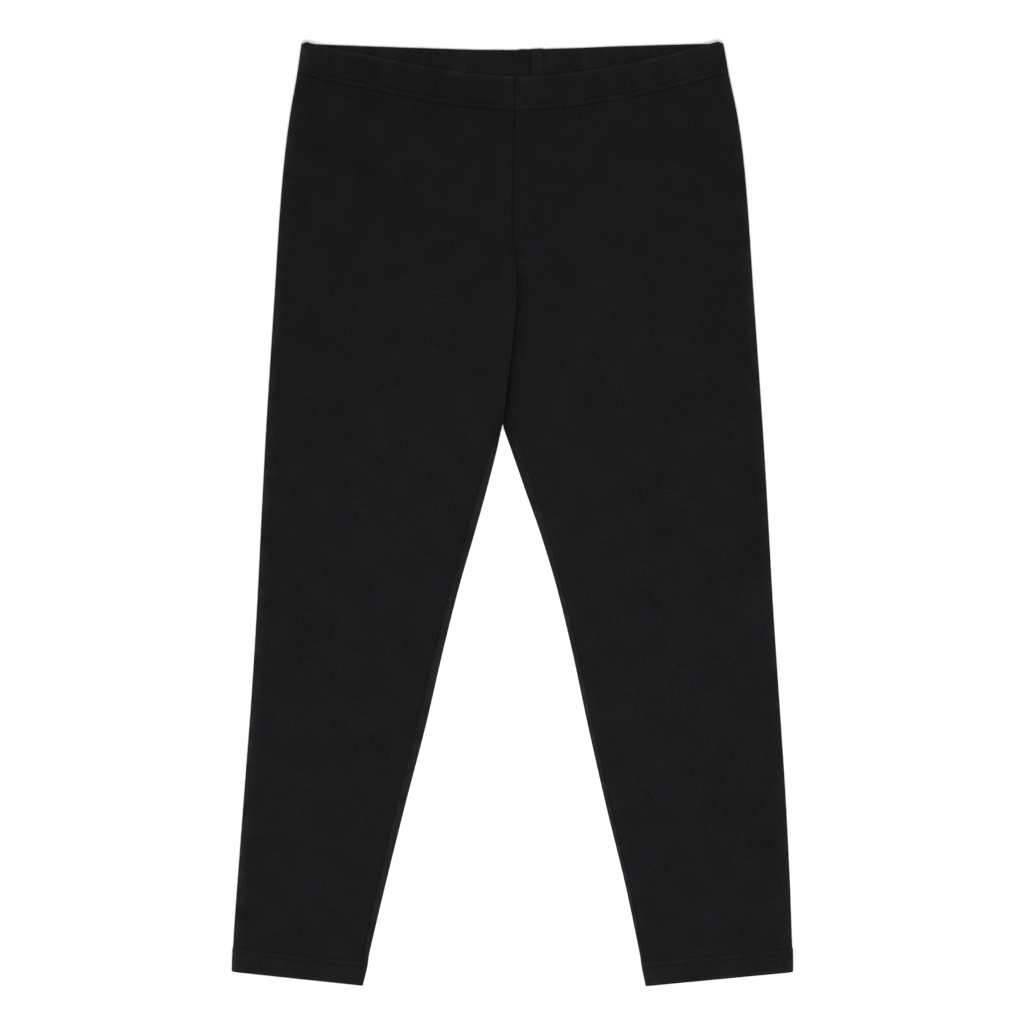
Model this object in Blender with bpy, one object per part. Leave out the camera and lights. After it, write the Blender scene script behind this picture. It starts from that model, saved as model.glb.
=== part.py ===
"""Plain black brushed-jersey leggings, laid flat on a table with the front up.

Each leg is one panel that runs from the inseam across the front, round the side fold, across the
back, round the inner fold and back to the inseam, so there is no side seam. The top of each panel is
turned down over the waist elastic and makes half of the casing, and the bottom is turned up as a hem.

Frame: X to the wearer's left, Y from the hems to the waist, Z up from the table. The origin is on the
table, under the middle of the garment's box. Sizes are millimetres until a point goes into a mesh.

A level is the Y of a row where it crosses the side fold. Across is 0 at the row's inner end, which is
the centre seam above the fork and the inner fold below it, and 1 at the side fold.
"""

import math
from collections import namedtuple

import bmesh
import bpy

METRES = 0.001

# Cloth
JERSEY = 1.2  # one layer of brushed cotton jersey
CASING_WALL = 2.8  # outer cloth, elastic and turned-in cloth
HEM_WALL = 2.3  # outer cloth and turned-up cloth
SEAM_GAP = 0.3  # between the pieces at a seam

# Length
WAIST = 447.0  # top fold of the casing at the side
CASING_SEAM = 416.0  # lower needle row of the casing at the side
CASING_STRETCH = 2.0  # the casing is this much deeper at the centre than at the side
CENTRE_FALL = 150.0  # the dip of the waist dies out over this length of leg
FORK = 85.2  # crotch fork
HEM_SEAM = -412.6  # upper needle row of the hem at the side
HEM_EDGE = -435.1  # fold of the hem at the side
HEM_SLOPE = 13.3  # the hem is this much lower at the inner fold than at the side
HEM_FALL = 112.0  # the hem's slope dies out over this length of leg

# Folded edges
FOLD_DEPTH = 6.0  # how far in from its edge a side fold is round
INSEAM_FLAT = 0.5  # an inner fold is round up to this distance from its inseam
FOLD_SWELL = 22.0  # a fold's swelling dies out over this width
CENTRE_SWELL = 40.0  # so does the bulk of the centre seam
ROLL_WIDTH = 9.0  # the rolled edge of the right panel along the lapped centre seam
TUCK_WIDTH = 6.0  # the tucked edge of the left panel beneath it

# Centre-back seam allowance, caught in the back of the casing
ALLOWANCE_WIDTH = 10.8
ALLOWANCE_SLOPE = 0.6
ALLOWANCE_RISE = 0.5  # above the inside of the casing
ALLOWANCE_LIFT = 0.7  # above the top fold
ALLOWANCE_END = 426.0  # level where the front of the casing covers it

# Columns of the grid
FRONT_STEPS = (0, 0.006, 0.02, 0.045, 0.09, 0.17, 0.28, 0.4, 0.52, 0.64, 0.76, 0.87, 0.95, 1)
BACK_STEPS = (0.1, 0.3, 0.5, 0.7, 0.9)
FOLD_SEGMENTS = 8
TAIL = 12.0  # the back's last stretch, which turns the inner fold below the fork
EDGE_SEGMENTS = 3  # round a turned edge
SHARP_ANGLE = math.radians(40)

PANEL_LEVELS = (
    400, 381, 358, 330, 296, 258, 234, 210, 182, 155, 130, 108, 94, 86.2,
    84.0, 78, 69, 56, 36, 6, -32, -72, -115, -160, -205, -250, -292, -330, -362, -386, -402,
)
CASING_LEVELS = (ALLOWANCE_END - 2, ALLOWANCE_END, 436)
HEM_LEVELS = (-424,)

# Side folds, seen from above
Girth = namedtuple("Girth", "level right left")
GIRTHS = (
    Girth(447, -200.3, 200.2),
    Girth(416, -204.7, 205.7),
    Girth(380, -211.0, 213.2),
    Girth(340, -216.2, 218.9),
    Girth(290, -220.7, 223.4),
    Girth(212, -225.7, 228.6),
    Girth(80, -234.0, 237.7),
    Girth(0, -238.2, 242.5),
    Girth(-90, -242.7, 247.5),
    Girth(-170, -247.4, 252.8),
    Girth(-260, -254.1, 258.8),
    Girth(-350, -261.0, 263.4),
    Girth(-396, -264.5, 265.5),
    Girth(-414, -266.2, 266.3),
    Girth(-436, -266.4, 266.5),
)

# Inner folds of the legs, and how far in from them the inseam lies on the front
Inner = namedtuple("Inner", "level right left right_inset left_inset")
INNERS = (
    Inner(85.2, -9.5, -9.1, 1.8, 1.8),
    Inner(79, -11.1, -7.5, 3.2, 5.0),
    Inner(72, -12.6, -5.0, 4.6, 8.6),
    Inner(60, -15.2, -0.7, 6.7, 9.0),
    Inner(20, -25.5, 13.2, 8.1, 8.3),
    Inner(-20, -36.7, 27.2, 8.1, 6.6),
    Inner(-70, -51.1, 42.2, 8.2, 5.1),
    Inner(-130, -66.2, 56.8, 8.5, 4.9),
    Inner(-200, -82.3, 71.7, 9.3, 4.6),
    Inner(-280, -103.0, 89.9, 8.4, 4.3),
    Inner(-350, -120.3, 106.9, 7.6, 3.7),
    Inner(-415, -135.7, 120.5, 6.6, 3.6),
    Inner(-449, -142.6, 126.7, 6.6, 3.6),
)

# Centre seams, with the bulk along the front one, and where the right panel laps over the left
Centre = namedtuple("Centre", "level front back swell roll tuck")
CENTRES = (
    Centre(445, 1.8, 17.1, 0.0, 0.0, 0.0),
    Centre(376, 1.7, 15.0, 0.0, 0.0, 0.0),
    Centre(315, -0.1, 12.0, 0.0, 0.0, 0.1),
    Centre(270, -0.2, 9.5, 0.2, 0.0, 0.2),
    Centre(254, 0.9, 8.5, 0.4, 0.1, 0.3),
    Centre(239, 3.5, 7.4, 0.6, 0.4, 0.5),
    Centre(216, 5.4, 5.8, 0.8, 0.8, 0.7),
    Centre(201, 4.8, 4.6, 0.8, 1.0, 0.8),
    Centre(178, 2.8, 2.6, 0.8, 1.1, 0.8),
    Centre(155, 0.8, 0.3, 0.8, 1.1, 0.8),
    Centre(133, -1.8, -2.3, 0.8, 1.1, 0.8),
    Centre(110, -4.8, -5.4, 0.8, 1.0, 0.7),
    Centre(85.2, -9.3, -9.3, 0.8, 0.5, 0.4),
)

# Height of the front above the table: in the flat of the leg, at the side fold and at the inner folds
Height = namedtuple("Height", "level flat side right_inner left_inner")
HEIGHTS = (
    Height(447, 6.1, 6.3, 4.3, 3.4),
    Height(410, 6.1, 6.3, 4.3, 3.4),
    Height(385, 5.2, 5.9, 4.3, 3.4),
    Height(350, 4.1, 5.4, 4.3, 3.4),
    Height(300, 3.3, 4.8, 4.3, 3.4),
    Height(220, 3.0, 4.5, 4.3, 3.4),
    Height(85, 3.0, 4.4, 4.3, 3.4),
    Height(30, 3.0, 4.4, 4.3, 4.0),
    Height(-300, 3.0, 4.3, 4.2, 4.2),
    Height(-365, 3.3, 4.4, 4.3, 4.3),
    Height(-405, 4.9, 5.0, 5.0, 5.0),
    Height(-436, 5.0, 5.0, 5.0, 5.0),
)

# How far the casing's top fold lies below its side corner, by place across
Dip = namedtuple("Dip", "across right_front left_front back")
DIPS = (
    Dip(0.00, 30.8, 30.8, 6.4),
    Dip(0.12, 29.7, 30.0, 6.3),
    Dip(0.25, 27.1, 27.9, 6.0),
    Dip(0.40, 22.1, 23.5, 5.0),
    Dip(0.55, 16.4, 18.1, 4.0),
    Dip(0.70, 10.4, 11.7, 2.9),
    Dip(0.85, 5.1, 4.7, 1.7),
    Dip(0.95, 0.4, -0.4, 0.6),
    Dip(0.975, -0.7, -1.1, -0.3),
    Dip(1.00, 0.3, 0.3, 0.3),
)

CLOTH_COLOUR = (0.0115, 0.0117, 0.0129, 1.0)
CLOTH_ROUGHNESS = 0.95

# A point of a section's outside: its place, its outward direction, how far across the row it lies,
# whether it is on the back, and how far it is from the row's inner end
Spot = namedtuple("Spot", "x z out_x out_z across back inward")
Side = namedtuple("Side", "name sign")
SIDES = (Side("right", -1), Side("left", 1))


def smooth(rows, column, place):
    """A column's value at a place along the table's first column, on a smooth curve through its rows."""
    points = sorted((row[0], getattr(row, column)) for row in rows)
    place = min(max(place, points[0][0]), points[-1][0])
    after = next(i for i in range(1, len(points)) if place <= points[i][0])
    (x0, y0), (x1, y1) = points[after - 1], points[after]

    def slope(i):
        low = points[max(i - 1, 0)]
        high = points[min(i + 1, len(points) - 1)]
        return (high[1] - low[1]) / (high[0] - low[0])

    span = x1 - x0
    t = (place - x0) / span
    return (
        (2 * t**3 - 3 * t**2 + 1) * y0
        + (t**3 - 2 * t**2 + t) * span * slope(after - 1)
        + (3 * t**2 - 2 * t**3) * y1
        + (t**3 - t**2) * span * slope(after)
    )


def ease(part):
    """1 at part 0 and 0 at part 1, level at both ends."""
    part = min(max(part, 0.0), 1.0)
    return 1 - part * part * (3 - 2 * part)


def row_y(side, level, across, back):
    """Y of a row's point: level, less the dip of the waist and the slope of the hem."""
    across = min(max(across, 0.0), 1.0)
    dip = smooth(DIPS, "back" if back else side.name + "_front", across)
    deeper = CASING_STRETCH * (1 - across**4) * min((WAIST - level) / (WAIST - CASING_SEAM), 1)
    waist = ease((CASING_SEAM - level) / CENTRE_FALL) * (dip + deeper)
    hem = ease((level - HEM_SEAM) / HEM_FALL) * HEM_SLOPE * (1 - across)
    return level - waist - hem


def turn(centre_x, centre_z, sign, depth, angle, **place):
    """A spot on a fold's half ellipse. The angle is 0 on top and 180 degrees underneath."""
    sine, cosine = math.sin(angle), math.cos(angle)
    return Spot(
        x=centre_x + sign * depth * sine,
        z=centre_z + centre_z * cosine,
        out_x=sign * sine,
        out_z=cosine,
        **place,
    )


def section(side, level):
    """Spots along one row's outside, from the front seam edge round the side fold to the back one."""
    sign, closed = side.sign, level < FORK
    front_y, back_y = row_y(side, level, 0, False), row_y(side, level, 0, True)
    fold_x = smooth(GIRTHS, side.name, level)
    flat = smooth(HEIGHTS, "flat", level)
    side_height = smooth(HEIGHTS, "side", level)
    if closed:
        front_x = back_x = smooth(INNERS, side.name, front_y)
        inset = smooth(INNERS, side.name + "_inset", front_y)
        start, last, inner_depth = inset + SEAM_GAP / 2, inset - SEAM_GAP / 2, inset - INSEAM_FLAT
        inner_height = smooth(HEIGHTS, side.name + "_inner", level)
    else:
        front_x = smooth(CENTRES, "front", front_y)
        back_x = smooth(CENTRES, "back", back_y)
        start = SEAM_GAP / 2
        swell = smooth(CENTRES, "swell", front_y)
        roll = smooth(CENTRES, "roll", front_y) if side.name == "right" else 0
        tuck = smooth(CENTRES, "tuck", front_y) if side.name == "left" else 0
    width = abs(fold_x - front_x)

    def top(inward):
        """Height of the front at a distance from the row's inner end."""
        rise = (side_height - flat) * ease((width - FOLD_DEPTH - inward) / FOLD_SWELL)
        if closed:
            return flat + rise + (inner_height - flat) * ease((inward - inner_depth) / FOLD_SWELL)
        bulk = swell * ease(inward / CENTRE_SWELL)
        return flat + rise + bulk + roll * ease(inward / ROLL_WIDTH) - tuck * ease(inward / TUCK_WIDTH)

    spots = []
    for step in FRONT_STEPS:
        inward = start + step * (width - FOLD_DEPTH - start)
        spots.append(Spot(front_x + sign * inward, top(inward), 0, 1, inward / width, False, inward))
    for i in range(1, FOLD_SEGMENTS + 1):
        angle = math.pi * i / FOLD_SEGMENTS
        spots.append(turn(
            fold_x - sign * FOLD_DEPTH, side_height / 2, sign, FOLD_DEPTH, angle,
            across=1 - FOLD_DEPTH * (1 - math.sin(angle)) / width, back=angle > math.pi / 2, inward=width,
        ))
    back_width = abs(fold_x - back_x)
    for step in BACK_STEPS:
        inward = TAIL + (1 - step) * (back_width - FOLD_DEPTH - TAIL)
        spots.append(Spot(back_x + sign * inward, 0, 0, -1, inward / back_width, True, inward))
    if closed:
        spots.append(Spot(back_x + sign * TAIL, 0, 0, -1, TAIL / width, True, TAIL))
        for i in range(FOLD_SEGMENTS + 1):
            angle = math.pi * (1 - i / FOLD_SEGMENTS)
            spots.append(turn(
                back_x + sign * inner_depth, inner_height / 2, -sign, inner_depth, angle,
                across=0, back=True, inward=0,
            ))
        spots.append(Spot(back_x + sign * last, top(last), 0, 1, last / width, True, last))
    else:
        stops = [TAIL, ALLOWANCE_WIDTH + ALLOWANCE_SLOPE]
        stops += [ALLOWANCE_WIDTH * (1 - i / FOLD_SEGMENTS) for i in range(FOLD_SEGMENTS)]
        for inward in stops + [SEAM_GAP / 2]:
            spots.append(Spot(back_x + sign * inward, 0, 0, -1, inward / back_width, True, inward))
    return spots


def allowance(side, level, spot):
    """Rise and lift of the centre-back seam allowance, which lies to the left of its seam in the casing."""
    if side.name == "right" or not spot.back or spot.inward > ALLOWANCE_WIDTH or level < ALLOWANCE_END:
        return 0, 0
    return ALLOWANCE_RISE, ALLOWANCE_LIFT * (level > CASING_LEVELS[-1])


def wall_columns(side, levels, wall, turned=None):
    """The piece's wall as columns of points round it, and where a turned edge's points stand in them."""
    rows = [section(side, level) for level in levels]
    columns = []
    for place in range(len(rows[0])):
        outside, inside = [], []
        for level, spots in zip(levels, rows):
            spot = spots[place]
            rise, lift = allowance(side, level, spot)
            thick = wall + rise
            y = row_y(side, level, spot.across, spot.back) + lift
            outside.append((spot.x, y, spot.z))
            inside.append((spot.x - thick * spot.out_x, y, spot.z - thick * spot.out_z))
        tips = []
        if turned:
            end = 0 if turned < 0 else -1
            middle = [(a + b) / 2 for a, b in zip(outside[end], inside[end])]
            half = [(a - b) / 2 for a, b in zip(outside[end], inside[end])]
            for i in range(1, EDGE_SEGMENTS):
                angle = math.pi * i / EDGE_SEGMENTS
                tip = [m + h * math.cos(angle) for m, h in zip(middle, half)]
                tip[1] += turned * wall / 2 * math.sin(angle)
                tips.append(tuple(tip))
        columns.append((outside, tips, inside))
    return columns


def piece(name, side, levels, wall, turned=None):
    """A closed wall through the given levels, with a round edge where its cloth is turned."""
    levels = sorted(levels)
    columns = wall_columns(side, levels, wall, turned)
    count = len(levels)
    mesh = bmesh.new()
    grid = []
    for outside, tips, inside in columns:
        if turned and turned < 0:
            ring = list(reversed(inside)) + list(reversed(tips)) + outside
        else:
            ring = outside + tips + list(reversed(inside))
        grid.append([mesh.verts.new([METRES * value for value in point]) for point in ring])
    around = len(grid[0])
    for near, far in zip(grid, grid[1:]):
        for i in range(around):
            following = (i + 1) % around
            mesh.faces.new((near[i], near[following], far[following], far[i]))
    for ring in (grid[0], grid[-1]):
        for i in range(count - 1):
            mesh.faces.new((ring[i], ring[i + 1], ring[around - 2 - i], ring[around - 1 - i]))
        if turned:
            mesh.faces.new(ring[count - 1:around - count + 1])
    bmesh.ops.recalc_face_normals(mesh, faces=mesh.faces)
    data = bpy.data.meshes.new(name)
    mesh.to_mesh(data)
    mesh.free()
    data.shade_smooth()
    data.set_sharp_from_angle(angle=SHARP_ANGLE)
    data.materials.append(jersey(name))
    obj = bpy.data.objects.new(name, data)
    bpy.context.scene.collection.objects.link(obj)
    return obj


def jersey(name):
    """Black brushed cotton jersey."""
    material = bpy.data.materials.new(name + "_jersey")
    material.use_nodes = True
    shader = material.node_tree.nodes["Principled BSDF"]
    shader.inputs["Base Color"].default_value = CLOTH_COLOUR
    shader.inputs["Roughness"].default_value = CLOTH_ROUGHNESS
    shader.inputs["Metallic"].default_value = 0.0
    return material


def leg_panel(side):
    """Front and back of one leg in a single layer of jersey, from the casing seam to the hem seam."""
    ends = (CASING_SEAM - SEAM_GAP / 2, HEM_SEAM + SEAM_GAP / 2)
    return piece("leg_panel_" + side.name, side, PANEL_LEVELS + ends, JERSEY)


def waist_casing(side):
    """Half of the casing, turned over its elastic at the top, from centre front to centre back."""
    ends = (CASING_SEAM + SEAM_GAP / 2, WAIST - CASING_WALL / 2)
    return piece("waist_casing_" + side.name, side, CASING_LEVELS + ends, CASING_WALL, turned=1)


def hem(side):
    """The turned-up end of one leg, two layers thick and round along its bottom fold."""
    ends = (HEM_SEAM - SEAM_GAP / 2, HEM_EDGE + HEM_WALL / 2)
    return piece("hem_" + side.name, side, HEM_LEVELS + ends, HEM_WALL, turned=-1)


def main():
    for obj in list(bpy.data.objects):
        bpy.data.objects.remove(obj)
    garment = bpy.data.objects.new("leggings", None)
    bpy.context.scene.collection.objects.link(garment)
    for side in SIDES:
        for make in (waist_casing, leg_panel, hem):
            make(side).parent = garment


main()
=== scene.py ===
"""Looks of black brushed-jersey leggings laid flat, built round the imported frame.

Each leg panel, casing half and hem is a closed wall of cloth on the same form as its solid. The form
is worked out from the tables below in millimetres: X to the wearer's left, Y from the hems to the
waist, Z up from the table. A level is the Y of a row where it crosses the side fold. Across is 0 at
the row's inner end, which is the centre seam above the fork and the inner fold below it, and 1 at the
side fold. The stitches and the loose fibres of the nap are made with Geometry Nodes.
"""

import math
from collections import namedtuple

import bmesh
import bpy
import numpy as np
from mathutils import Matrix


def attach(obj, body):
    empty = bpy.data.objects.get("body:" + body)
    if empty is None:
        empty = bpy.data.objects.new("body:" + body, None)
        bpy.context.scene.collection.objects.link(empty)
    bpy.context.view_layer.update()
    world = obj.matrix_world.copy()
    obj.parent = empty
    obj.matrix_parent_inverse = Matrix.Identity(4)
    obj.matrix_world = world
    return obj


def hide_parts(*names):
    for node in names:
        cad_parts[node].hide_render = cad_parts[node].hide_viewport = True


bl_info = {
    "name": "Jersey Leggings",
    "version": (1, 0, 0),
    "blender": (4, 5, 0),
    "location": "View3D > Sidebar > Leggings",
    "description": "Dresses the solids of a pair of leggings as sewn, brushed jersey",
    "category": "Add Mesh",
}

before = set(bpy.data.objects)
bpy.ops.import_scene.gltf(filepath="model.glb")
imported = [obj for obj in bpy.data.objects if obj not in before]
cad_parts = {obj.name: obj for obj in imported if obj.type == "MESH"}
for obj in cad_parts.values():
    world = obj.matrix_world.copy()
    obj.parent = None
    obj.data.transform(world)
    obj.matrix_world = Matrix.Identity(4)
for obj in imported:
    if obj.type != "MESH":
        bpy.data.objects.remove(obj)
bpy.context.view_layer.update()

METRES = 0.001
BODY = "root"

# A soft band of painted highlight or painted shade: its strength, and its middle and half width in mm
Band = namedtuple("Band", "strength middle width")
# Where something is full and where it has died out, in mm
Ramp = namedtuple("Ramp", "full none")

# ---------------------------------------------------------------- the garment's own sizes, in mm

WAIST = 447.0  # top fold of the casing at the side
CASING_SEAM = 416.0  # lower needle row of the casing at the side
CASING_STRETCH = 2.0  # the casing is this much deeper at the centre than at the side
CENTRE_FALL = 150.0  # the dip of the waist dies out over this length of leg
JUNCTION = 103.2  # where the centre seams and the two inseams meet on the front
FORK = 85.2  # crotch fork
HEM_SEAM = -412.6  # upper needle row of the hem at the side
HEM_SLOPE = 13.3  # the hem is this much lower at the inner fold than at the side
HEM_FALL = 112.0  # the hem's slope dies out over this length of leg

FOLD_DEPTH = 6.0  # how far in from its edge a side fold is round
INSEAM_FLAT = 0.5  # an inner fold is round up to this distance from its inseam
NAP_REACH = 0.25  # the nap stands out this far from a fold
FOLD_SWELL = 22.0  # a fold's swelling dies out over this width
CENTRE_SWELL = 40.0  # so does the bulk of the centre seam
ROLL_WIDTH = 9.0  # the rolled edge of the right panel along the lapped centre seam
TUCK_WIDTH = 6.0  # the tucked edge of the left panel beneath it
LAP_CLEAR = 1.2  # the roll reaches over the tuck where they differ in height by more than this
BACK_TURN = 12.0  # the back's centre seam lifts off the table over this length above the fork

ALLOWANCE_WIDTH = 10.8  # centre-back seam allowance, caught in the back of the casing
ALLOWANCE_SLOPE = 0.7  # its edge slopes over this width
ALLOWANCE_RISE = 0.5  # above the inside of the casing
ALLOWANCE_LIFT = 0.7  # above the top fold
ALLOWANCE_END = 424.0  # level where the front of the casing covers it
ALLOWANCE_FADE = 5.0  # it comes to its full height over this length above that level
BULGE = Ramp(8.8, 13.8)  # the top fold rises over it, by distance from its inner end
BULGE_LEVELS = Ramp(445, 439)

Girth = namedtuple("Girth", "level right left")
GIRTHS = (
    Girth(447, -200.3, 200.2),
    Girth(416, -204.7, 205.7),
    Girth(380, -211.0, 213.2),
    Girth(340, -216.2, 218.9),
    Girth(290, -220.7, 223.4),
    Girth(212, -225.7, 228.6),
    Girth(80, -234.0, 237.7),
    Girth(0, -238.2, 242.5),
    Girth(-90, -242.7, 247.5),
    Girth(-170, -247.6, 252.8),
    Girth(-260, -254.4, 258.8),
    Girth(-350, -261.2, 263.4),
    Girth(-396, -264.5, 265.0),
    Girth(-411, -265.3, 265.6),
    Girth(-414, -266.0, 266.3),
    Girth(-436, -266.7, 266.5),
)

Inner = namedtuple("Inner", "level right left")
INNERS = (
    Inner(85.2, -9.5, -9.1),
    Inner(79, -11.1, -7.5),
    Inner(72, -12.6, -5.0),
    Inner(60, -15.2, -0.7),
    Inner(20, -25.5, 13.2),
    Inner(-20, -36.7, 27.2),
    Inner(-70, -51.1, 42.2),
    Inner(-130, -66.2, 56.8),
    Inner(-200, -82.3, 71.6),
    Inner(-280, -103.0, 89.7),
    Inner(-350, -120.3, 106.8),
    Inner(-415, -135.7, 120.5),
    Inner(-422, -137.0, 121.7),
    Inner(-430, -138.0, 122.7),
    Inner(-449, -142.6, 126.7),
)

# How far in from a row's inner end the inseam lies on the front
Inseam = namedtuple("Inseam", "level right left")
INSEAMS = (
    Inseam(120, 1.3, 1.3),
    Inseam(104, 1.3, 1.3),
    Inseam(99.5, 1.8, 3.3),
    Inseam(95.6, 2.2, 5.1),
    Inseam(91.8, 2.4, 6.8),
    Inseam(88, 2.6, 8.5),
    Inseam(84.5, 2.8, 9.9),
    Inseam(80, 3.0, 10.3),
    Inseam(76, 3.1, 10.1),
    Inseam(71, 3.8, 9.9),
    Inseam(60, 5.5, 9.2),
    Inseam(20, 7.2, 8.3),
    Inseam(-20, 7.3, 6.6),
    Inseam(-70, 7.4, 5.1),
    Inseam(-130, 7.7, 4.9),
    Inseam(-200, 8.4, 4.6),
    Inseam(-280, 7.6, 4.3),
    Inseam(-350, 6.8, 3.6),
    Inseam(-405, 5.5, 3.2),
    Inseam(-426, 4.8, 2.8),
    Inseam(-441, 3.8, 2.7),
    Inseam(-449, 3.4, 2.6),
)

Centre = namedtuple("Centre", "level front back swell roll tuck")
CENTRES = (
    Centre(445, 1.8, 17.7, 0.0, 0.0, 0.0),
    Centre(376, 1.7, 15.2, 0.0, 0.0, 0.0),
    Centre(315, -0.1, 12.0, 0.0, 0.0, 0.1),
    Centre(270, -0.2, 9.5, 0.2, 0.0, 0.2),
    Centre(254, 0.9, 8.5, 0.4, 0.1, 0.3),
    Centre(239, 3.1, 7.4, 0.6, 0.4, 0.5),
    Centre(216, 4.5, 5.8, 0.8, 0.8, 0.7),
    Centre(201, 3.8, 4.6, 0.8, 1.0, 0.8),
    Centre(178, 1.6, 2.6, 0.8, 1.1, 0.8),
    Centre(155, -0.8, 0.3, 0.8, 1.1, 0.8),
    Centre(133, -3.4, -2.3, 0.8, 1.1, 0.8),
    Centre(110, -6.1, -5.4, 0.8, 1.0, 0.7),
    Centre(98, -7.6, -7.4, 0.8, 0.7, 0.5),
    Centre(85.2, -9.3, -9.3, 0.8, 0.5, 0.4),
)

Height = namedtuple("Height", "level flat side right_inner left_inner")
HEIGHTS = (
    Height(447, 6.1, 6.3, 4.3, 3.4),
    Height(410, 6.1, 6.3, 4.3, 3.4),
    Height(385, 5.2, 5.9, 4.3, 3.4),
    Height(350, 4.1, 5.4, 4.3, 3.4),
    Height(300, 3.3, 4.8, 4.3, 3.4),
    Height(220, 3.0, 4.5, 4.3, 3.4),
    Height(85, 3.0, 4.4, 4.3, 3.4),
    Height(30, 3.0, 4.4, 4.3, 4.0),
    Height(-300, 3.0, 4.3, 4.2, 4.2),
    Height(-365, 3.3, 4.4, 4.3, 4.3),
    Height(-405, 4.9, 5.0, 5.0, 5.0),
    Height(-436, 5.0, 5.0, 5.0, 5.0),
)

# How far the casing's top fold lies below its side corner, by place across
Dip = namedtuple("Dip", "across right_front left_front right_back left_back")
DIPS = (
    Dip(0.00, 31.3, 31.4, 6.3, 6.0),
    Dip(0.12, 30.2, 30.5, 6.2, 5.0),
    Dip(0.25, 27.4, 28.5, 6.0, 4.4),
    Dip(0.40, 22.5, 24.3, 5.0, 3.2),
    Dip(0.55, 16.9, 19.1, 4.0, 2.3),
    Dip(0.70, 10.6, 12.6, 2.9, 1.5),
    Dip(0.85, 5.2, 5.5, 1.7, 0.8),
    Dip(0.95, 0.6, 0.0, 0.6, 0.3),
    Dip(0.975, -0.7, -1.1, -0.3, -0.3),
    Dip(1.00, 0.3, 0.3, 0.3, 0.3),
)

# Soft troughs and ridges: middle, half length, half width, angle from X, bend and height
Crease = namedtuple("Crease", "x y length width angle bend height")
FRONT_CREASES = (
    Crease(-193, -120, 20, 8, 25, 0.004, -0.30),
    Crease(-219, -138, 9, 6, 70, 0.0, -0.26),
    Crease(-209, -152, 9, 6, 60, 0.0, -0.28),
    Crease(-146, -205, 34, 9, -32, 0.003, -0.22),
    Crease(-128, -224, 12, 8, -50, 0.0, -0.22),
    Crease(-131, 110, 10, 9, 10, 0.0, -0.26),
    Crease(-159, 184, 16, 10, 40, 0.0, -0.20),
    Crease(144, -21, 15, 8, 20, 0.0, -0.26),
    Crease(99, 20, 18, 10, -25, 0.003, -0.18),
    Crease(218, 31, 12, 8, 75, 0.0, -0.20),
    Crease(231, -12, 36, 6, 86, 0.0, -0.24),
    Crease(222, -48, 22, 8, 15, -0.003, -0.18),
    Crease(190, -56, 14, 9, -10, 0.0, -0.22),
    Crease(194, -237, 13, 9, 60, 0.0, -0.20),
    Crease(244, -311, 36, 7, 86, 0.0, -0.36),
    Crease(169, -342, 20, 11, -55, 0.002, -0.20),
    Crease(146, -390, 13, 9, 10, 0.0, -0.16),
    Crease(205, -290, 80, 38, 84, 0.0, -0.10),
    Crease(100, 240, 110, 60, 90, 0.0, 0.05),
    Crease(-189, 402, 14, 9, 90, 0.0, -0.20),
    Crease(-11, 300, 62, 6, 89, 0.0, 0.20),
    Crease(-29, 296, 58, 9, 88, 0.0, -0.18),
    Crease(-23, 214, 32, 8, 92, 0.0, -0.20),
    Crease(26, 214, 42, 10, 80, -0.001, -0.16),
    Crease(-186, 366, 20, 15, 70, 0.0, -0.26),
    Crease(-152, 336, 28, 12, -25, 0.0, -0.24),
    Crease(-92, 390, 60, 10, -6, 0.0, -0.20),
    Crease(-92, 66, 34, 16, 30, 0.0, 0.10),
    Crease(63, 35, 28, 18, -28, 0.0, 0.26),
    Crease(118, -212, 44, 18, -62, 0.001, 0.12),
    Crease(-226, -284, 34, 13, 84, 0.0, 0.20),
    Crease(232, -96, 24, 13, 80, 0.0, 0.26),
    Crease(-178, -352, 40, 12, 35, -0.002, 0.14),
    Crease(-60, 256, 52, 14, -50, 0.001, -0.14),
    Crease(84, 290, 58, 16, 42, 0.001, 0.10),
    Crease(-173, 433, 9, 2.2, 86, 0.0, -0.48),
    Crease(-177, 434, 8, 3.4, 86, 0.0, 0.34),
    Crease(-131, 415, 16, 4.0, 98, 0.0, -0.28),
    Crease(-146, 430, 10, 10, 0, 0.0, 0.20),
    Crease(-41, 400, 26, 16, -5, 0.0, -0.28),
    Crease(2, 373, 32, 15, 3, 0.0, -0.18),
    Crease(171, 402, 12, 7, 8, 0.0, 0.18),
)
BACK_CREASES = (
    Crease(-150, 250, 60, 13, -38, 0.001, 0.30),
    Crease(-60, 130, 46, 12, -35, 0.002, 0.28),
    Crease(74, 142, 52, 12, 33, -0.002, 0.30),
    Crease(160, 240, 56, 14, 40, -0.001, 0.26),
    Crease(-185, 10, 40, 12, 20, 0.002, 0.28),
    Crease(150, -30, 44, 13, -18, 0.002, 0.30),
    Crease(-160, -170, 34, 10, 28, 0.003, 0.26),
    Crease(178, -150, 30, 11, -32, 0.003, 0.24),
    Crease(-205, -310, 40, 12, 78, 0.0, 0.24),
    Crease(196, -330, 36, 11, 96, 0.0, 0.24),
)

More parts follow.
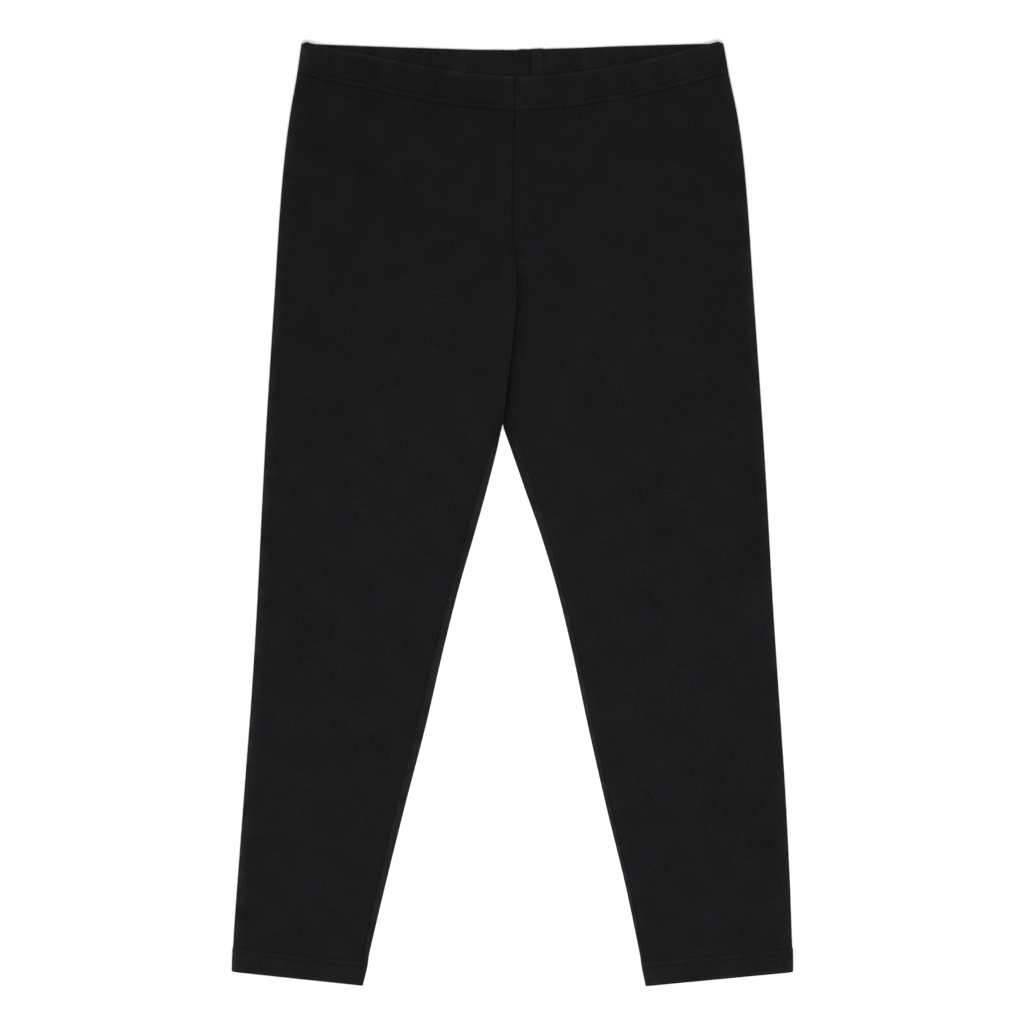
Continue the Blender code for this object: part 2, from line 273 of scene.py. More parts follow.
# Uneven puckers of the elasticated casing: middle across, half width and height
Pucker = namedtuple("Pucker", "x width height")
FRONT_PUCKERS = (
    Pucker(-161, 4.8, 0.16), Pucker(-146, 3.4, -0.03), Pucker(-121, 5.0, 0.10),
    Pucker(-104, 3.6, -0.14), Pucker(-88, 4.4, -0.04), Pucker(-71, 3.4, -0.12),
    Pucker(-56, 5.2, 0.04), Pucker(-39, 3.2, -0.16), Pucker(-24, 3.8, 0.06),
    Pucker(-11, 2.6, -0.12), Pucker(13, 3.0, -0.16), Pucker(27, 4.4, 0.10),
    Pucker(47, 3.2, -0.03), Pucker(64, 4.8, 0.12), Pucker(79, 3.4, -0.14),
    Pucker(95, 4.6, 0.12), Pucker(116, 3.2, -0.05), Pucker(127, 4.2, 0.07),
    Pucker(143, 3.0, -0.12), Pucker(158, 4.8, 0.18), Pucker(175, 3.0, -0.02),
    Pucker(187, 3.2, 0.18),
)
BACK_PUCKERS = (
    Pucker(-180, 4.0, 0.22), Pucker(-152, 5.0, 0.26), Pucker(-117, 4.2, 0.20),
    Pucker(-86, 5.4, 0.24), Pucker(-47, 4.6, 0.26), Pucker(-14, 4.0, 0.20),
    Pucker(38, 5.0, 0.24), Pucker(70, 4.2, 0.12), Pucker(104, 5.2, 0.24),
    Pucker(139, 4.4, 0.20), Pucker(171, 4.6, 0.26),
)

# A side of the garment: the way from its inner end to its fold, where its inseam begins to show, where
# the fold of its hem crosses the side fold, and how far its edge reaches over or under the other's
# along the centre seam for each millimetre of the lap's height
Side = namedtuple("Side", "name sign inseam_top hem_edge lap")
SIDES = (Side("right", -1, 104.0, -435.1, 0.7), Side("left", 1, 107.0, -435.5, -0.4))
INSEAM_START = 8.0  # an inseam deepens over this length from its top
CASING_TURN = 0.5  # the casing is this much thicker at its centre seams

# Painted highlight on the strip between an inseam and its fold
Strip = namedtuple("Strip", "level right left")
STRIPS = (
    Strip(80, 0.02, 0.02),
    Strip(62, 0.30, 0.30),
    Strip(20, 0.35, 0.33),
    Strip(-20, 0.36, 0.36),
    Strip(-120, 0.36, 0.43),
    Strip(-250, 0.34, 0.54),
    Strip(-350, 0.40, 0.58),
    Strip(-425, 0.24, 0.36),
    Strip(-449, 0.24, 0.30),
)

# Painted highlight on a side fold
Rub = namedtuple("Rub", "level right left")
SIDE_HIGHLIGHTS = (
    Rub(430, 0.86, 0.74),
    Rub(350, 0.86, 0.72),
    Rub(200, 0.98, 0.78),
    Rub(0, 1.00, 0.72),
    Rub(-200, 1.12, 0.60),
    Rub(-350, 1.02, 0.56),
    Rub(-430, 1.00, 0.66),
)

# How many columns a piece has: across the front, round the side fold and across the back, and where
# the last ones of the back lie, measured from its inner end
Plan = namedtuple("Plan", "front fold back stops")
PANEL_PLAN = Plan(48, 16, 30, (13.0, 10.8))
CASING_PLAN = Plan(380, 16, 208, (13.0, 11.9, 11.5, 11.15, 10.8, 10.4, 9.0, 6.5, 4.0, 2.2))
HEM_PLAN = Plan(216, 16, 200, (13.0, 10.8))
NEAR_BACK = 16.0  # the back's even columns end this far from its inner end
BACK_SHARES = (2 / 3, 1 / 3)  # the last columns, as shares of the way on from its turned edge
FIBRE_MARGIN = 5.0  # loose fibres lie at least this far from an inner end
FIBRE_EDGE = 2.5  # and this far from the edges of a piece
EDGE_TURN = 8  # columns round a seam edge or a quarter of an inner fold
GROOVE_COLUMNS = (-0.3, -0.14, 0, 0.14, 0.3, 0.5, 0.8, 1.3, 2.1, 3.4, 5.4)  # distances from the inseam
TIP_SEGMENTS = 6  # rows round a turned edge
INNER_CLEAR = 0.2  # a groove stops this far short of a wall's inner face
SHARP_ANGLE = math.radians(50)

FINE_ROWS = (0, 0.12, 0.3, 0.55, 0.85, 1.25, 1.8, 2.7, 4.0)  # distances from a needle row at an edge
TROUGH_ROWS = (-1.3, -0.8, -0.45, -0.2, 0, 0.2, 0.45, 0.8, 1.3)  # distances from one between edges
PANEL_STEP = 4.2  # between rows of a leg panel
CROTCH_STEP = 1.2  # between rows near the fork
CROTCH_REACH = 22.0  # which are these far above and below it
FORK_ROWS = (0.15, 0.05)  # the nearest rows lie this far above and below the fork
BAND_STEP = 2.4  # between rows of a casing or hem

HOLE_SEED = 5
HOLE_PULL = (0.5, 1.3)  # the thread draws some holes in more than others
HOLE_LENGTH = 0.55  # half length of a hole along its row
HOLE_WIDTH = 0.42  # half width across it
HOLE_CLEAR = 1.0  # the first and last holes lie at least this far from the ends of a row
TROUGH_WIDTH = 0.8  # half width of the trough of a needle row
RIDGE_PLACE = 0.37  # the ridge lies this share of the row gap below the upper row
RIDGE_WIDTH = 1.3  # and has this half width
END_SHARE = 0.6  # turned edges and holes lose this share at the ends of a row
EDGE_END = 12.0  # over this distance for an edge
HOLE_END = 14.0  # and over this one for a hole

SWELL_LIMIT = -0.3  # the front never sinks further than this, or it would touch the back
FOLD_KEEP = 16.0  # creases die out over this distance from a fold
SHADING_KEEP = 6.0  # and their painted light and shade over this one
CREASE_SHADING = 0.45  # painted highlight on a raised crease and painted shade in a sunk one, for each millimetre of its height
PUCKER_SHADING = 0.6  # the same for a pucker
PUCKER_FADE = 12.0  # puckers die out over this length below the casing
WAVE_COUNT = 16  # slight waves that cross the whole cloth
WAVE_SEED = 11
WAVE_LENGTHS = (28.0, 95.0)
WAVE_HEIGHT = 0.045

# ------------------------------------------------------ painted shade of the seams and painted highlights of the folds

SIDE_FOLD_HIGHLIGHTS = (Band(0.3, 0, 2.5), Band(0.58, 0, 6.3))  # painted highlight, by distance from a side fold
STRIP_FOLD_HIGHLIGHT = Band(1.2, 0, 3.2)  # a strip's painted highlight is stronger towards its fold
STRIP_EDGE = 0.5  # and not from this distance past its inseam
INNER_RIM = Band(0.7, 0, 1.5)  # painted highlight on the edge of an inner fold
INNER_RIM_LEVELS = Ramp(FORK - 8, FORK + 2)
LAP_RIM = Band(0.6, 0, 1.4)  # painted highlight on the right panel's edge where it turns under at the fork
LAP_RIM_LEVELS = Band(1, FORK + 5, 9)

SEAM_LINE = Band(0.75, 0, 0.7)  # the centre seam's own line
SEAM_LINE_LEVELS = Ramp(FORK, FORK - 4)
FORK_SHADE = Band(0.3, 0, 7)  # the tops of the inner folds
FORK_SHADE_LEVELS = Band(1, FORK - 6, 9)
LAP_TOP = Ramp(212, 264)  # the right panel laps over the left from here
LAP_BOTTOM = Ramp(FORK - 8, FORK - 28)  # to here
LEFT_SHADE, LEFT_SHADE_WIDTH = 0.14, 4.0  # on the left panel along the centre seam
LAP_SHADE, LAP_SHADE_WIDTH = 0.48, 2.8  # and what the lap adds to them
LAP_DEEPEST = Band(0.27, 106, 20)  # more strength about this level
LAP_WIDEST = Band(0.8, 104, 14)  # more width about this one
LAP_CORE = Band(1.4, 0, 2.7)  # the darkest part, right under the lap
LAP_CORE_LEVELS = Band(1, 109, 38)

# What differs between the sides. Painted shade: of the inseam, of the holes of the casing's upper row
# and inside the casing's back. Painted light: of the casing's top fold, its corner and its side, and of
# the hem, as a whole, by distance from the side fold and by distance from the inseam
Wear = namedtuple("Wear", "inseam upper_row inside top_fold corner flank hem hem_fold hem_seam")
SIDE_LIGHT_PAINT = {
    "right": Wear(0.45, 1.25, 0.03, 0.56, 0.18, 0, 0.07, Band(0.08, 12, 14), Band(0.06, 15, 30)),
    "left": Wear(0.42, 1.0, 0.12, 0.44, 0.26, 0.08, 0.09, Band(-0.05, 45, 40), Band(0.34, 3.5, 7.5)),
}

RIGHT_INSEAM_SHADE = Band(0.04, 1.2, 1.3)  # painted shade beside the right inseam
LEFT_DEEPER = 0.16  # how much darker the left inseam is higher up
LEFT_DEEPER_LEVELS = Ramp(70, 30)
LEFT_INSEAM_HIGHLIGHTS = (  # painted highlight beside the left inseam lower down
    (Band(0.08, 2.4, 1.9), Ramp(20, 60)),
    (Band(0.05, 3, 7), Ramp(-20, 60)),
)

HOLE_SHADE = 1.7  # of a needle hole of strength 1
HOLE_SHADE_WIDTH = 0.6  # half width of that shade across the row
EDGE_SHADE = 1.35  # where the cloth turns into the casing's seam
PANEL_HEM_SHADE = 0.45  # where the panel turns into the hem's seam
HEM_EDGE_SHADE = 0.2  # and where the hem does
HEM_INSEAM_SHADE = 0.3  # of the inseam on the hem

CASING_LOWER_ROW = 1.35  # strength of the holes of the casing's lower row
CASING_CENTRE_SHADE = 0.7  # share of the centre seam's shade that the casing has
CASING_ABOVE_SEAM_SHADE = Band(0.16, 0.9, 0.8)  # painted shade just above its seam
CASING_RIDGE_HIGHLIGHT = 0.08  # painted highlight on the ridge between its needle rows
CASING_CENTRE_HIGHLIGHT = Band(0.14, 6, 7)  # painted light beside its centre-front seam
CASING_RIM = Band(1, 0.7, 1.3)  # painted highlight on its top fold, by distance below it
CORNER_ACROSS = Band(1, 6, 14)  # painted light on its corner, by distance from the side fold
CORNER_DOWN = Band(1, 4, 12)  # and by distance below the top fold
FLANK = Band(1, 55, 34)  # painted light on its side, by distance from the side fold
INSIDE_LIGHT = 0.14  # painted light inside the back of the casing
INSIDE_CENTRE = Band(0.06, 0, 75)  # less so near the centre
INSIDE_RIM = 0.5  # share of the top fold's painted highlight there
INSIDE_LIGHT_LINE = Band(0.5, 0.6, 1.1)  # painted light that lifts the shadow along the front's top fold, by distance above it
INSIDE_SHADE = Band(1, 3.5, 2.8)  # painted shade further above it
# painted highlight on the seam allowance inside the casing
ALLOWANCE_HIGHLIGHT = 0.3
ALLOWANCE_SHADE = Band(0.7, 0, 5)  # the share of that painted highlight that is lost, by distance above that fold

HEM_UPPER_ROW, HEM_LOWER_ROW = 3.0, 1.0  # strength of the holes
HEM_RIM = Band(0.45, 0, 1.8)  # painted highlight on the hem's bottom fold, by distance above it
HEM_RIDGE_HIGHLIGHT = 0.048  # painted highlight between its needle rows
HEM_GROOVE = 0.5  # share of the inseam's depth that the hem has

# ------------------------------------------------------------------------------------- settings


class LEGGINGS_PG_cloth(bpy.types.PropertyGroup):
    """Sizes and colour of the jersey."""

    wall: bpy.props.FloatProperty(
        name="Jersey", description="Thickness of one layer", default=0.0012, unit="LENGTH"
    )
    casing_wall: bpy.props.FloatProperty(
        name="Casing", description="Thickness of the casing with its elastic",
        default=0.0028, unit="LENGTH",
    )
    hem_wall: bpy.props.FloatProperty(
        name="Hem", description="Thickness of the turned hem", default=0.0023, unit="LENGTH"
    )
    colour: bpy.props.FloatVectorProperty(
        name="Colour", description="Colour of the nap", default=(0.00607, 0.00627, 0.00693, 1.0),
        size=4, subtype="COLOR", min=0, max=1,
    )
    # painted highlight on the folds: how much it lightens the cloth
    rubbed_gain: bpy.props.FloatProperty(
        name="Painted fold highlights", description="How much lighter the nap is on a fold",
        default=1.2, subtype="FACTOR",
    )
    shade_gain: bpy.props.FloatProperty(
        name="Seam shade", description="How much darker it is in a seam", default=0.7, subtype="FACTOR"
    )
    mottle_size: bpy.props.FloatProperty(
        name="Mottle", description="Size of the soft patches of the nap", default=0.03, unit="LENGTH"
    )
    mottle_contrast: bpy.props.FloatProperty(
        name="Mottle contrast", description="Lightness range of the patches",
        default=0.22, subtype="FACTOR",
    )
    grain_size: bpy.props.FloatProperty(
        name="Grain", description="Size of the tufts of the nap", default=0.0008, unit="LENGTH"
    )
    grain_contrast: bpy.props.FloatProperty(
        name="Grain contrast", description="Lightness range of the tufts", default=1.5, subtype="FACTOR"
    )
    dye_contrast: bpy.props.FloatProperty(
        name="Dye contrast", description="Range from warm to cool black", default=0.1, subtype="FACTOR"
    )
    # patches along a fold in which its painted highlight is stronger or weaker
    wear_size: bpy.props.FloatProperty(
        name="Wear", description="Size of the patches in which a fold is rubbed",
        default=0.016, unit="LENGTH",
    )
    # how much that painted highlight varies along a fold
    highlight_patch_contrast: bpy.props.FloatProperty(
        name="Wear contrast", description="Range of the rubbing along a fold",
        default=1.4, subtype="FACTOR",
    )
    wale: bpy.props.FloatProperty(
        name="Wale", description="Width of a knitted column", default=0.0007, unit="LENGTH"
    )
    course: bpy.props.FloatProperty(
        name="Course", description="Height of a knitted row", default=0.0006, unit="LENGTH"
    )


class LEGGINGS_PG_seams(bpy.types.PropertyGroup):
    """Sizes of the seams and needle rows."""

    gap: bpy.props.FloatProperty(
        name="Seam gap", description="Space between two pieces at a seam", default=0.0, unit="LENGTH"
    )
    edge_round: bpy.props.FloatProperty(
        name="Edge round", description="Radius of an edge that is turned into a seam",
        default=0.0008, unit="LENGTH",
    )
    casing_edge: bpy.props.FloatProperty(
        name="Casing edge", description="Radius of the cloth along the casing's seam",
        default=0.0006, unit="LENGTH",
    )
    hem_edge: bpy.props.FloatProperty(
        name="Hem edge", description="Radius of the cloth along the hem's seam",
        default=0.00035, unit="LENGTH",
    )
    groove_depth: bpy.props.FloatProperty(
        name="Inseam depth", description="Depth of the groove of an inseam",
        default=0.0009, unit="LENGTH",
    )
    groove_width: bpy.props.FloatProperty(
        name="Inseam width", description="Half width of that groove", default=0.0005, unit="LENGTH"
    )
    row_gap: bpy.props.FloatProperty(
        name="Row gap", description="Distance between the rows of a twin needle",
        default=0.0056, unit="LENGTH",
    )
    trough: bpy.props.FloatProperty(
        name="Row trough", description="How far a needle row pulls the cloth in",
        default=0.0001, unit="LENGTH",
    )
    hole: bpy.props.FloatProperty(
        name="Needle hole", description="Depth of a needle hole", default=0.0006, unit="LENGTH"
    )
    pitch: bpy.props.FloatProperty(
        name="Stitch", description="Length of a stitch", default=0.0035, unit="LENGTH"
    )
    thread: bpy.props.FloatProperty(
        name="Thread", description="Thickness of the sewing thread", default=0.0003, unit="LENGTH"
    )
    rise: bpy.props.FloatProperty(
        name="Stitch rise", description="Height that its arch is drawn to",
        default=0.00025, unit="LENGTH",
    )
    sink: bpy.props.FloatProperty(
        name="Stitch sink", description="Depth of its ends in the cloth", default=0.0007, unit="LENGTH"
    )
    thread_colour: bpy.props.FloatVectorProperty(
        name="Thread colour", description="Colour of the sewing thread",
        default=(0.006, 0.0061, 0.0068, 1.0),
        size=4, subtype="COLOR", min=0, max=1,
    )


class LEGGINGS_PG_nap(bpy.types.PropertyGroup):
    """Loose fibres that lie on the brushed face."""

    density: bpy.props.FloatProperty(
        name="Density", description="Fibres for each square metre", default=2600.0, min=0
    )
    length: bpy.props.FloatProperty(
        name="Length", description="Length of a fibre", default=0.0036, unit="LENGTH"
    )
    thickness: bpy.props.FloatProperty(
        name="Thickness", description="Thickness of a fibre", default=0.00012, unit="LENGTH"
    )
    colour: bpy.props.FloatVectorProperty(
        name="Fibre colour", description="Colour of the fibres", default=(0.0125, 0.0129, 0.0142, 1.0),
        size=4, subtype="COLOR", min=0, max=1,
    )
    seed: bpy.props.IntProperty(name="Seed", description="Seed of the fibres' places", default=7)


class LEGGINGS_PG_stage(bpy.types.PropertyGroup):
    """Floor, light and camera."""

    floor_colour: bpy.props.FloatVectorProperty(
        name="Floor", description="Colour of the floor", default=(0.96, 0.96, 0.96, 1.0),
        size=4, subtype="COLOR", min=0, max=1,
    )
    sky: bpy.props.FloatProperty(
        name="Sky", description="Strength of the light all round", default=0.57
    )
    overhead_power: bpy.props.FloatProperty(
        name="Overhead light", description="Power of the light over the hems", default=13.2
    )
    window_power: bpy.props.FloatProperty(
        name="Window light", description="Power of the low light beyond the waist", default=115.0
    )
    camera_height: bpy.props.FloatProperty(
        name="Camera height", description="Height of the camera above the table",
        default=3.652, unit="LENGTH",
    )
    lens: bpy.props.FloatProperty(name="Lens", description="Focal length in millimetres", default=135.0)


SETTINGS = {
    "leggings_cloth": LEGGINGS_PG_cloth,
    "leggings_seams": LEGGINGS_PG_seams,
    "leggings_nap": LEGGINGS_PG_nap,
    "leggings_stage": LEGGINGS_PG_stage,
}


def settings(name):
    return getattr(bpy.context.scene, "leggings_" + name)


def in_mm(length):
    return length / METRES


# ----------------------------------------------------------------------------------------- form


def smooth(rows, column, places):
    """A column's values at places along a table's first column, on a smooth curve through its rows."""
    points = sorted((row[0], getattr(row, column)) for row in rows)
    x, y = np.array(points, float).T
    slopes = np.empty_like(y)
    slopes[1:-1] = (y[2:] - y[:-2]) / (x[2:] - x[:-2])
    slopes[0] = (y[1] - y[0]) / (x[1] - x[0])
    slopes[-1] = (y[-1] - y[-2]) / (x[-1] - x[-2])
    places = np.clip(places, x[0], x[-1])
    after = np.clip(np.searchsorted(x, places), 1, len(x) - 1)
    before = after - 1
    span = x[after] - x[before]
    t = (places - x[before]) / span
    return (
        (2 * t**3 - 3 * t**2 + 1) * y[before]
        + (t**3 - 2 * t**2 + t) * span * slopes[before]
        + (3 * t**2 - 2 * t**3) * y[after]
        + (t**3 - t**2) * span * slopes[after]
    )


def ease(part):
    """1 at part 0 and 0 at part 1, level at both ends."""
    part = np.clip(part, 0.0, 1.0)
    return 1 - part * part * (3 - 2 * part)


def ramp(place, row):
    """1 where a Ramp is full and 0 where it has died out."""
    return ease((place - row.full) / (row.none - row.full))


def bell(distance, width):
    """1 at distance 0, falling off softly over a half width."""
    return np.exp(-((distance / width) ** 2))


def band(place, row):
    """How strong a Band is at a place."""
    return row.strength * bell(place - row.middle, row.width)


def row_y(side, levels, across, back):
    """Y of the rows' points: level, less the dip of the waist and the slope of the hem."""
    across = np.clip(across, 0.0, 1.0)
    dip = smooth(DIPS, side.name + ("_back" if back else "_front"), across)
    depth_share = np.minimum((WAIST - levels) / (WAIST - CASING_SEAM), 1)
    deeper = CASING_STRETCH * (1 - across**4) * depth_share
    waist = ease((CASING_SEAM - levels) / CENTRE_FALL) * (dip + deeper)
    hem = ease((levels - HEM_SEAM) / HEM_FALL) * HEM_SLOPE * (1 - across)
    return levels - waist - hem


# A column of a section: where its outer and inner points lie, which way is out, how far across the
# row it is, whether it is on the back, and how far it is from the row's inner end and from the inseam
Spot = namedtuple("Spot", "x z in_x in_z out_x out_z across back inward seam")
FAR = 1e3


def section(side, levels, wall, plan, turn_inside=0.0):
    """The rows' spots by column, from the front's inner end round the side fold to the back's."""
    seams = settings("seams")
    sign, zero, one = side.sign, np.zeros_like(levels), np.ones_like(levels)
    closed = levels < FORK
    front_y, back_y = row_y(side, levels, zero, False), row_y(side, levels, zero, True)
    joined = ease((front_y - FORK) / (JUNCTION - FORK))
    lifted = ease((back_y - FORK) / BACK_TURN)

    fold_x = smooth(GIRTHS, side.name, levels)
    flat = smooth(HEIGHTS, "flat", levels)
    side_height = smooth(HEIGHTS, "side", levels)
    inner_height = smooth(HEIGHTS, side.name + "_inner", levels)
    swell, roll, tuck = (smooth(CENTRES, name, front_y) for name in ("swell", "roll", "tuck"))
    lap = np.maximum(roll + tuck - LAP_CLEAR, 0) * (1 - joined)
    reach = lap * side.lap
    half_gap = sign * in_mm(seams.gap) / 2
    inner_x = smooth(INNERS, side.name, front_y)
    front_x = np.where(closed, inner_x, smooth(CENTRES, "front", front_y) + half_gap - sign * reach)
    back_x = np.where(closed, inner_x, smooth(CENTRES, "back", back_y) + half_gap)
    if side.name == "right":
        tuck = zero
    else:
        roll = zero

    inset = smooth(INSEAMS, side.name, front_y)
    depth = inset - INSEAM_FLAT
    edge = in_mm(seams.edge_round)
    fork_depth = smooth(INSEAMS, side.name, FORK * one) - INSEAM_FLAT
    back_depth = np.where(closed, depth, edge + (fork_depth - edge) * lifted)
    drop = edge + (inner_height / 2 - edge) * joined
    back_drop = edge + (inner_height / 2 - edge) * lifted
    width, back_width = np.abs(fold_x - front_x), np.abs(fold_x - back_x)

    def top(inward):
        """Height of the front at a distance from the rows' inner ends."""
        rise = (side_height - flat) * ease((width - FOLD_DEPTH - inward) / FOLD_SWELL)
        open_part = swell * ease(inward / CENTRE_SWELL) + roll * ease(inward / ROLL_WIDTH)
        open_part = open_part - tuck * ease(inward / TUCK_WIDTH)
        closed_part = (inner_height - flat) * ease((inward - depth) / FOLD_SWELL)
        return flat + rise + open_part * (1 - joined) + closed_part * joined

    def inner_turn(angle, back):
        """A spot on the turned edge of a seam, or on a quarter of the inner fold. Up to 90 degrees."""
        share = lifted if back else joined
        deep, fall = (back_depth, back_drop) if back else (depth, drop)
        end, up = (back_x, -1) if back else (front_x, 1)
        inward = deep * (1 - math.sin(angle))
        x = end + sign * inward
        z = (zero if back else top(inward)) - up * fall * (1 - math.cos(angle))
        bend = angle * share
        flatter = (1 - share) * fall * (1 - math.cos(angle)) - turn_inside * (1 - math.cos(angle))
        return Spot(
            x, z,
            x + sign * wall * np.sin(bend), z + up * (flatter - wall * np.cos(bend)),
            -sign * np.sin(bend), up * np.cos(bend),
            inward / width, back, inward, FAR * one if back else inward - inset,
        )

    def front(inward):
        x, z = front_x + sign * inward, top(inward)
        return Spot(x, z, x, z - wall, zero, one, inward / width, False, inward, inward - inset)

    def under(inward):
        x = back_x + sign * inward
        return Spot(x, zero, x, wall * one, zero, -one, inward / back_width, True, inward, FAR * one)

    def side_turn(angle):
        sine, cosine = math.sin(angle), math.cos(angle)
        x = fold_x - sign * FOLD_DEPTH * (1 - sine)
        z = side_height / 2 * (1 + cosine)
        across = 1 - FOLD_DEPTH * (1 - sine) / width
        back = angle > math.pi / 2
        return Spot(
            x, z, x - wall * sign * sine, z - wall * cosine,
            sign * sine * one, cosine * one, across, back, width, FAR * one,
        )

    quarter = np.linspace(0, math.pi / 2, EDGE_TURN + 1)
    spots = [inner_turn(angle, False) for angle in quarter[::-1]]
    spots += [front(inset + offset) for offset in GROOVE_COLUMNS]
    first = inset + GROOVE_COLUMNS[-1]
    for part in np.linspace(0, 1, plan.front + 1)[1:]:
        spots.append(front(first + part * (width - FOLD_DEPTH - first)))
    spots += [side_turn(angle) for angle in np.linspace(0, math.pi, plan.fold + 1)[1:]]
    for part in np.linspace(1, 0, plan.back + 1)[1:]:
        spots.append(under(NEAR_BACK + part * (back_width - FOLD_DEPTH - NEAR_BACK)))
    spots += [under(stop * one) for stop in plan.stops]
    spots += [under(back_depth + part * (plan.stops[-1] - back_depth)) for part in BACK_SHARES]
    spots += [inner_turn(angle, True) for angle in quarter]
    return spots


# A wall's points and what its painted light and shade are worked out from, in columns by rows
Form = namedtuple("Form", "levels outer inner out back inward seam fold arc closed tone")


def form_of(side, levels, wall, plan, turn_inside=0.0):
    """The form of a wall whose rows lie at these levels, with its creases, puckers and waves."""
    levels = np.array(sorted(levels), float)
    spots = section(side, levels, wall, plan, turn_inside)
    fold_x = smooth(GIRTHS, side.name, levels)
    y = np.array([row_y(side, levels, spot.across, spot.back) for spot in spots])

    def column(name):
        return np.array([getattr(spot, name) for spot in spots])

    back = np.array([spot.back for spot in spots])
    x, z = column("x"), column("z")
    fold = np.abs(fold_x - x)
    # tone is the painted highlight and painted shade that the creases and puckers give
    lift, tone = relief(x, y, levels, back[:, None])
    lift *= 1 - ease(np.minimum(fold, column("inward")) / FOLD_KEEP)
    tone *= 1 - ease(fold / SHADING_KEEP)
    out = np.stack([column("out_x"), np.zeros_like(x), column("out_z")], -1)
    outer = np.stack([x + NAP_REACH * column("out_x"), y, z + lift], -1)
    inner = np.stack([column("in_x"), y, column("in_z") + lift], -1)
    steps = np.linalg.norm(np.diff(outer[:, :, ::2], axis=0), axis=-1)
    arc = np.concatenate([np.zeros((1, len(levels))), np.cumsum(steps, axis=0)])
    return Form(
        levels, outer, inner, out, back,
        column("inward"), column("seam"), fold, arc, levels < FORK, tone,
    )


def relief(x, y, levels, back):
    """Height that the creases, the casing's puckers and the cloth's slight waves add, and the painted
    light
    and shade of the creases and puckers: a painted highlight where they rise and painted shade where
    they sink."""
    creases = np.where(back, crease_height(BACK_CREASES, x, y), crease_height(FRONT_CREASES, x, y))
    puckers = np.where(back, pucker_height(BACK_PUCKERS, x), pucker_height(FRONT_PUCKERS, x))
    puckers = puckers * ease((CASING_SEAM - levels) / PUCKER_FADE)
    height = creases + puckers + np.where(back, 0, waves(x, y))
    height = np.where(back, np.clip(height, 0, -SWELL_LIMIT), np.maximum(height, SWELL_LIMIT))
    return height, CREASE_SHADING * creases + PUCKER_SHADING * puckers


def crease_height(creases, x, y):
    """Each crease dies out softly along its length and to its sides."""
    total = np.zeros_like(x)
    for crease in creases:
        angle = math.radians(crease.angle)
        dx, dy = x - crease.x, y - crease.y
        along = dx * math.cos(angle) + dy * math.sin(angle)
        aside = dy * math.cos(angle) - dx * math.sin(angle) + crease.bend * along**2
        total += crease.height * np.exp(-((along / crease.length) ** 2) - (aside / crease.width) ** 2)
    return total


def pucker_height(puckers, x):
    """The elastic draws the casing into short upright folds."""
    return sum(pucker.height * bell(x - pucker.x, pucker.width) for pucker in puckers)


def waves(x, y):
    """Slight waves of many lengths and directions."""
    draw = np.random.default_rng(WAVE_SEED)
    total = np.zeros_like(x)
    for _ in range(WAVE_COUNT):
        length = draw.uniform(*WAVE_LENGTHS)
        angle = draw.uniform(0, math.pi)
        phase = draw.uniform(0, math.tau)
        total += np.sin(math.tau * (x * math.cos(angle) + y * math.sin(angle)) / length + phase)
    return WAVE_HEIGHT * total


def needle_holes(arc, pitch):
    """Columns in which the needle goes down, as near to a stitch apart as the columns allow."""
    holes, reached = [], HOLE_CLEAR
    while reached < arc[-1] - HOLE_CLEAR:
        place = int(np.argmin(np.abs(arc - reached)))
        if not holes or place > holes[-1]:
            holes.append(place)
        reached = arc[holes[-1]] + pitch
    return holes


def share_at_ends(form, width):
    """Share of a turned edge or a hole that is left near the ends of its row."""
    return 1 - END_SHARE * bell(np.minimum(form.fold, form.inward), width)


def turned_edge(form, distance, radius):
    """Depth of a rounded edge at a distance from it."""
    left = np.clip(1 - distance / radius, 0, 1)
    return radius * (1 - np.sqrt(1 - left**2)) * share_at_ends(form, EDGE_END)


# --------------------------------------------------------------------------------------- meshes


# Painted shade and painted light on the outer and the inner face of a wall, in columns by rows
Finish = namedtuple("Finish", "shade rubbed inner_shade inner_rubbed")


def light_and_shade_of(form, shade, rubbed, inner_shade=0.0, inner_rubbed=0.0):
    """Adds the relief's painted highlight and shade to the seams' painted shade and the folds' painted
    light.
    """
    outward = np.where(form.back[:, None], -form.tone, form.tone)
    raised, sunk = np.maximum(outward, 0), np.maximum(-outward, 0)
    return Finish(shade + sunk, rubbed + raised, inner_shade + raised, inner_rubbed + sunk)


def round_wall(outer, tips, inner, turned):
    """The rows of a wall in the order in which they go round it: its faces and its turned edge."""
    if turned < 0:
        return np.concatenate([inner[:, ::-1], tips[:, ::-1], outer], 1)
    return np.concatenate([outer, tips, inner[:, ::-1]], 1)


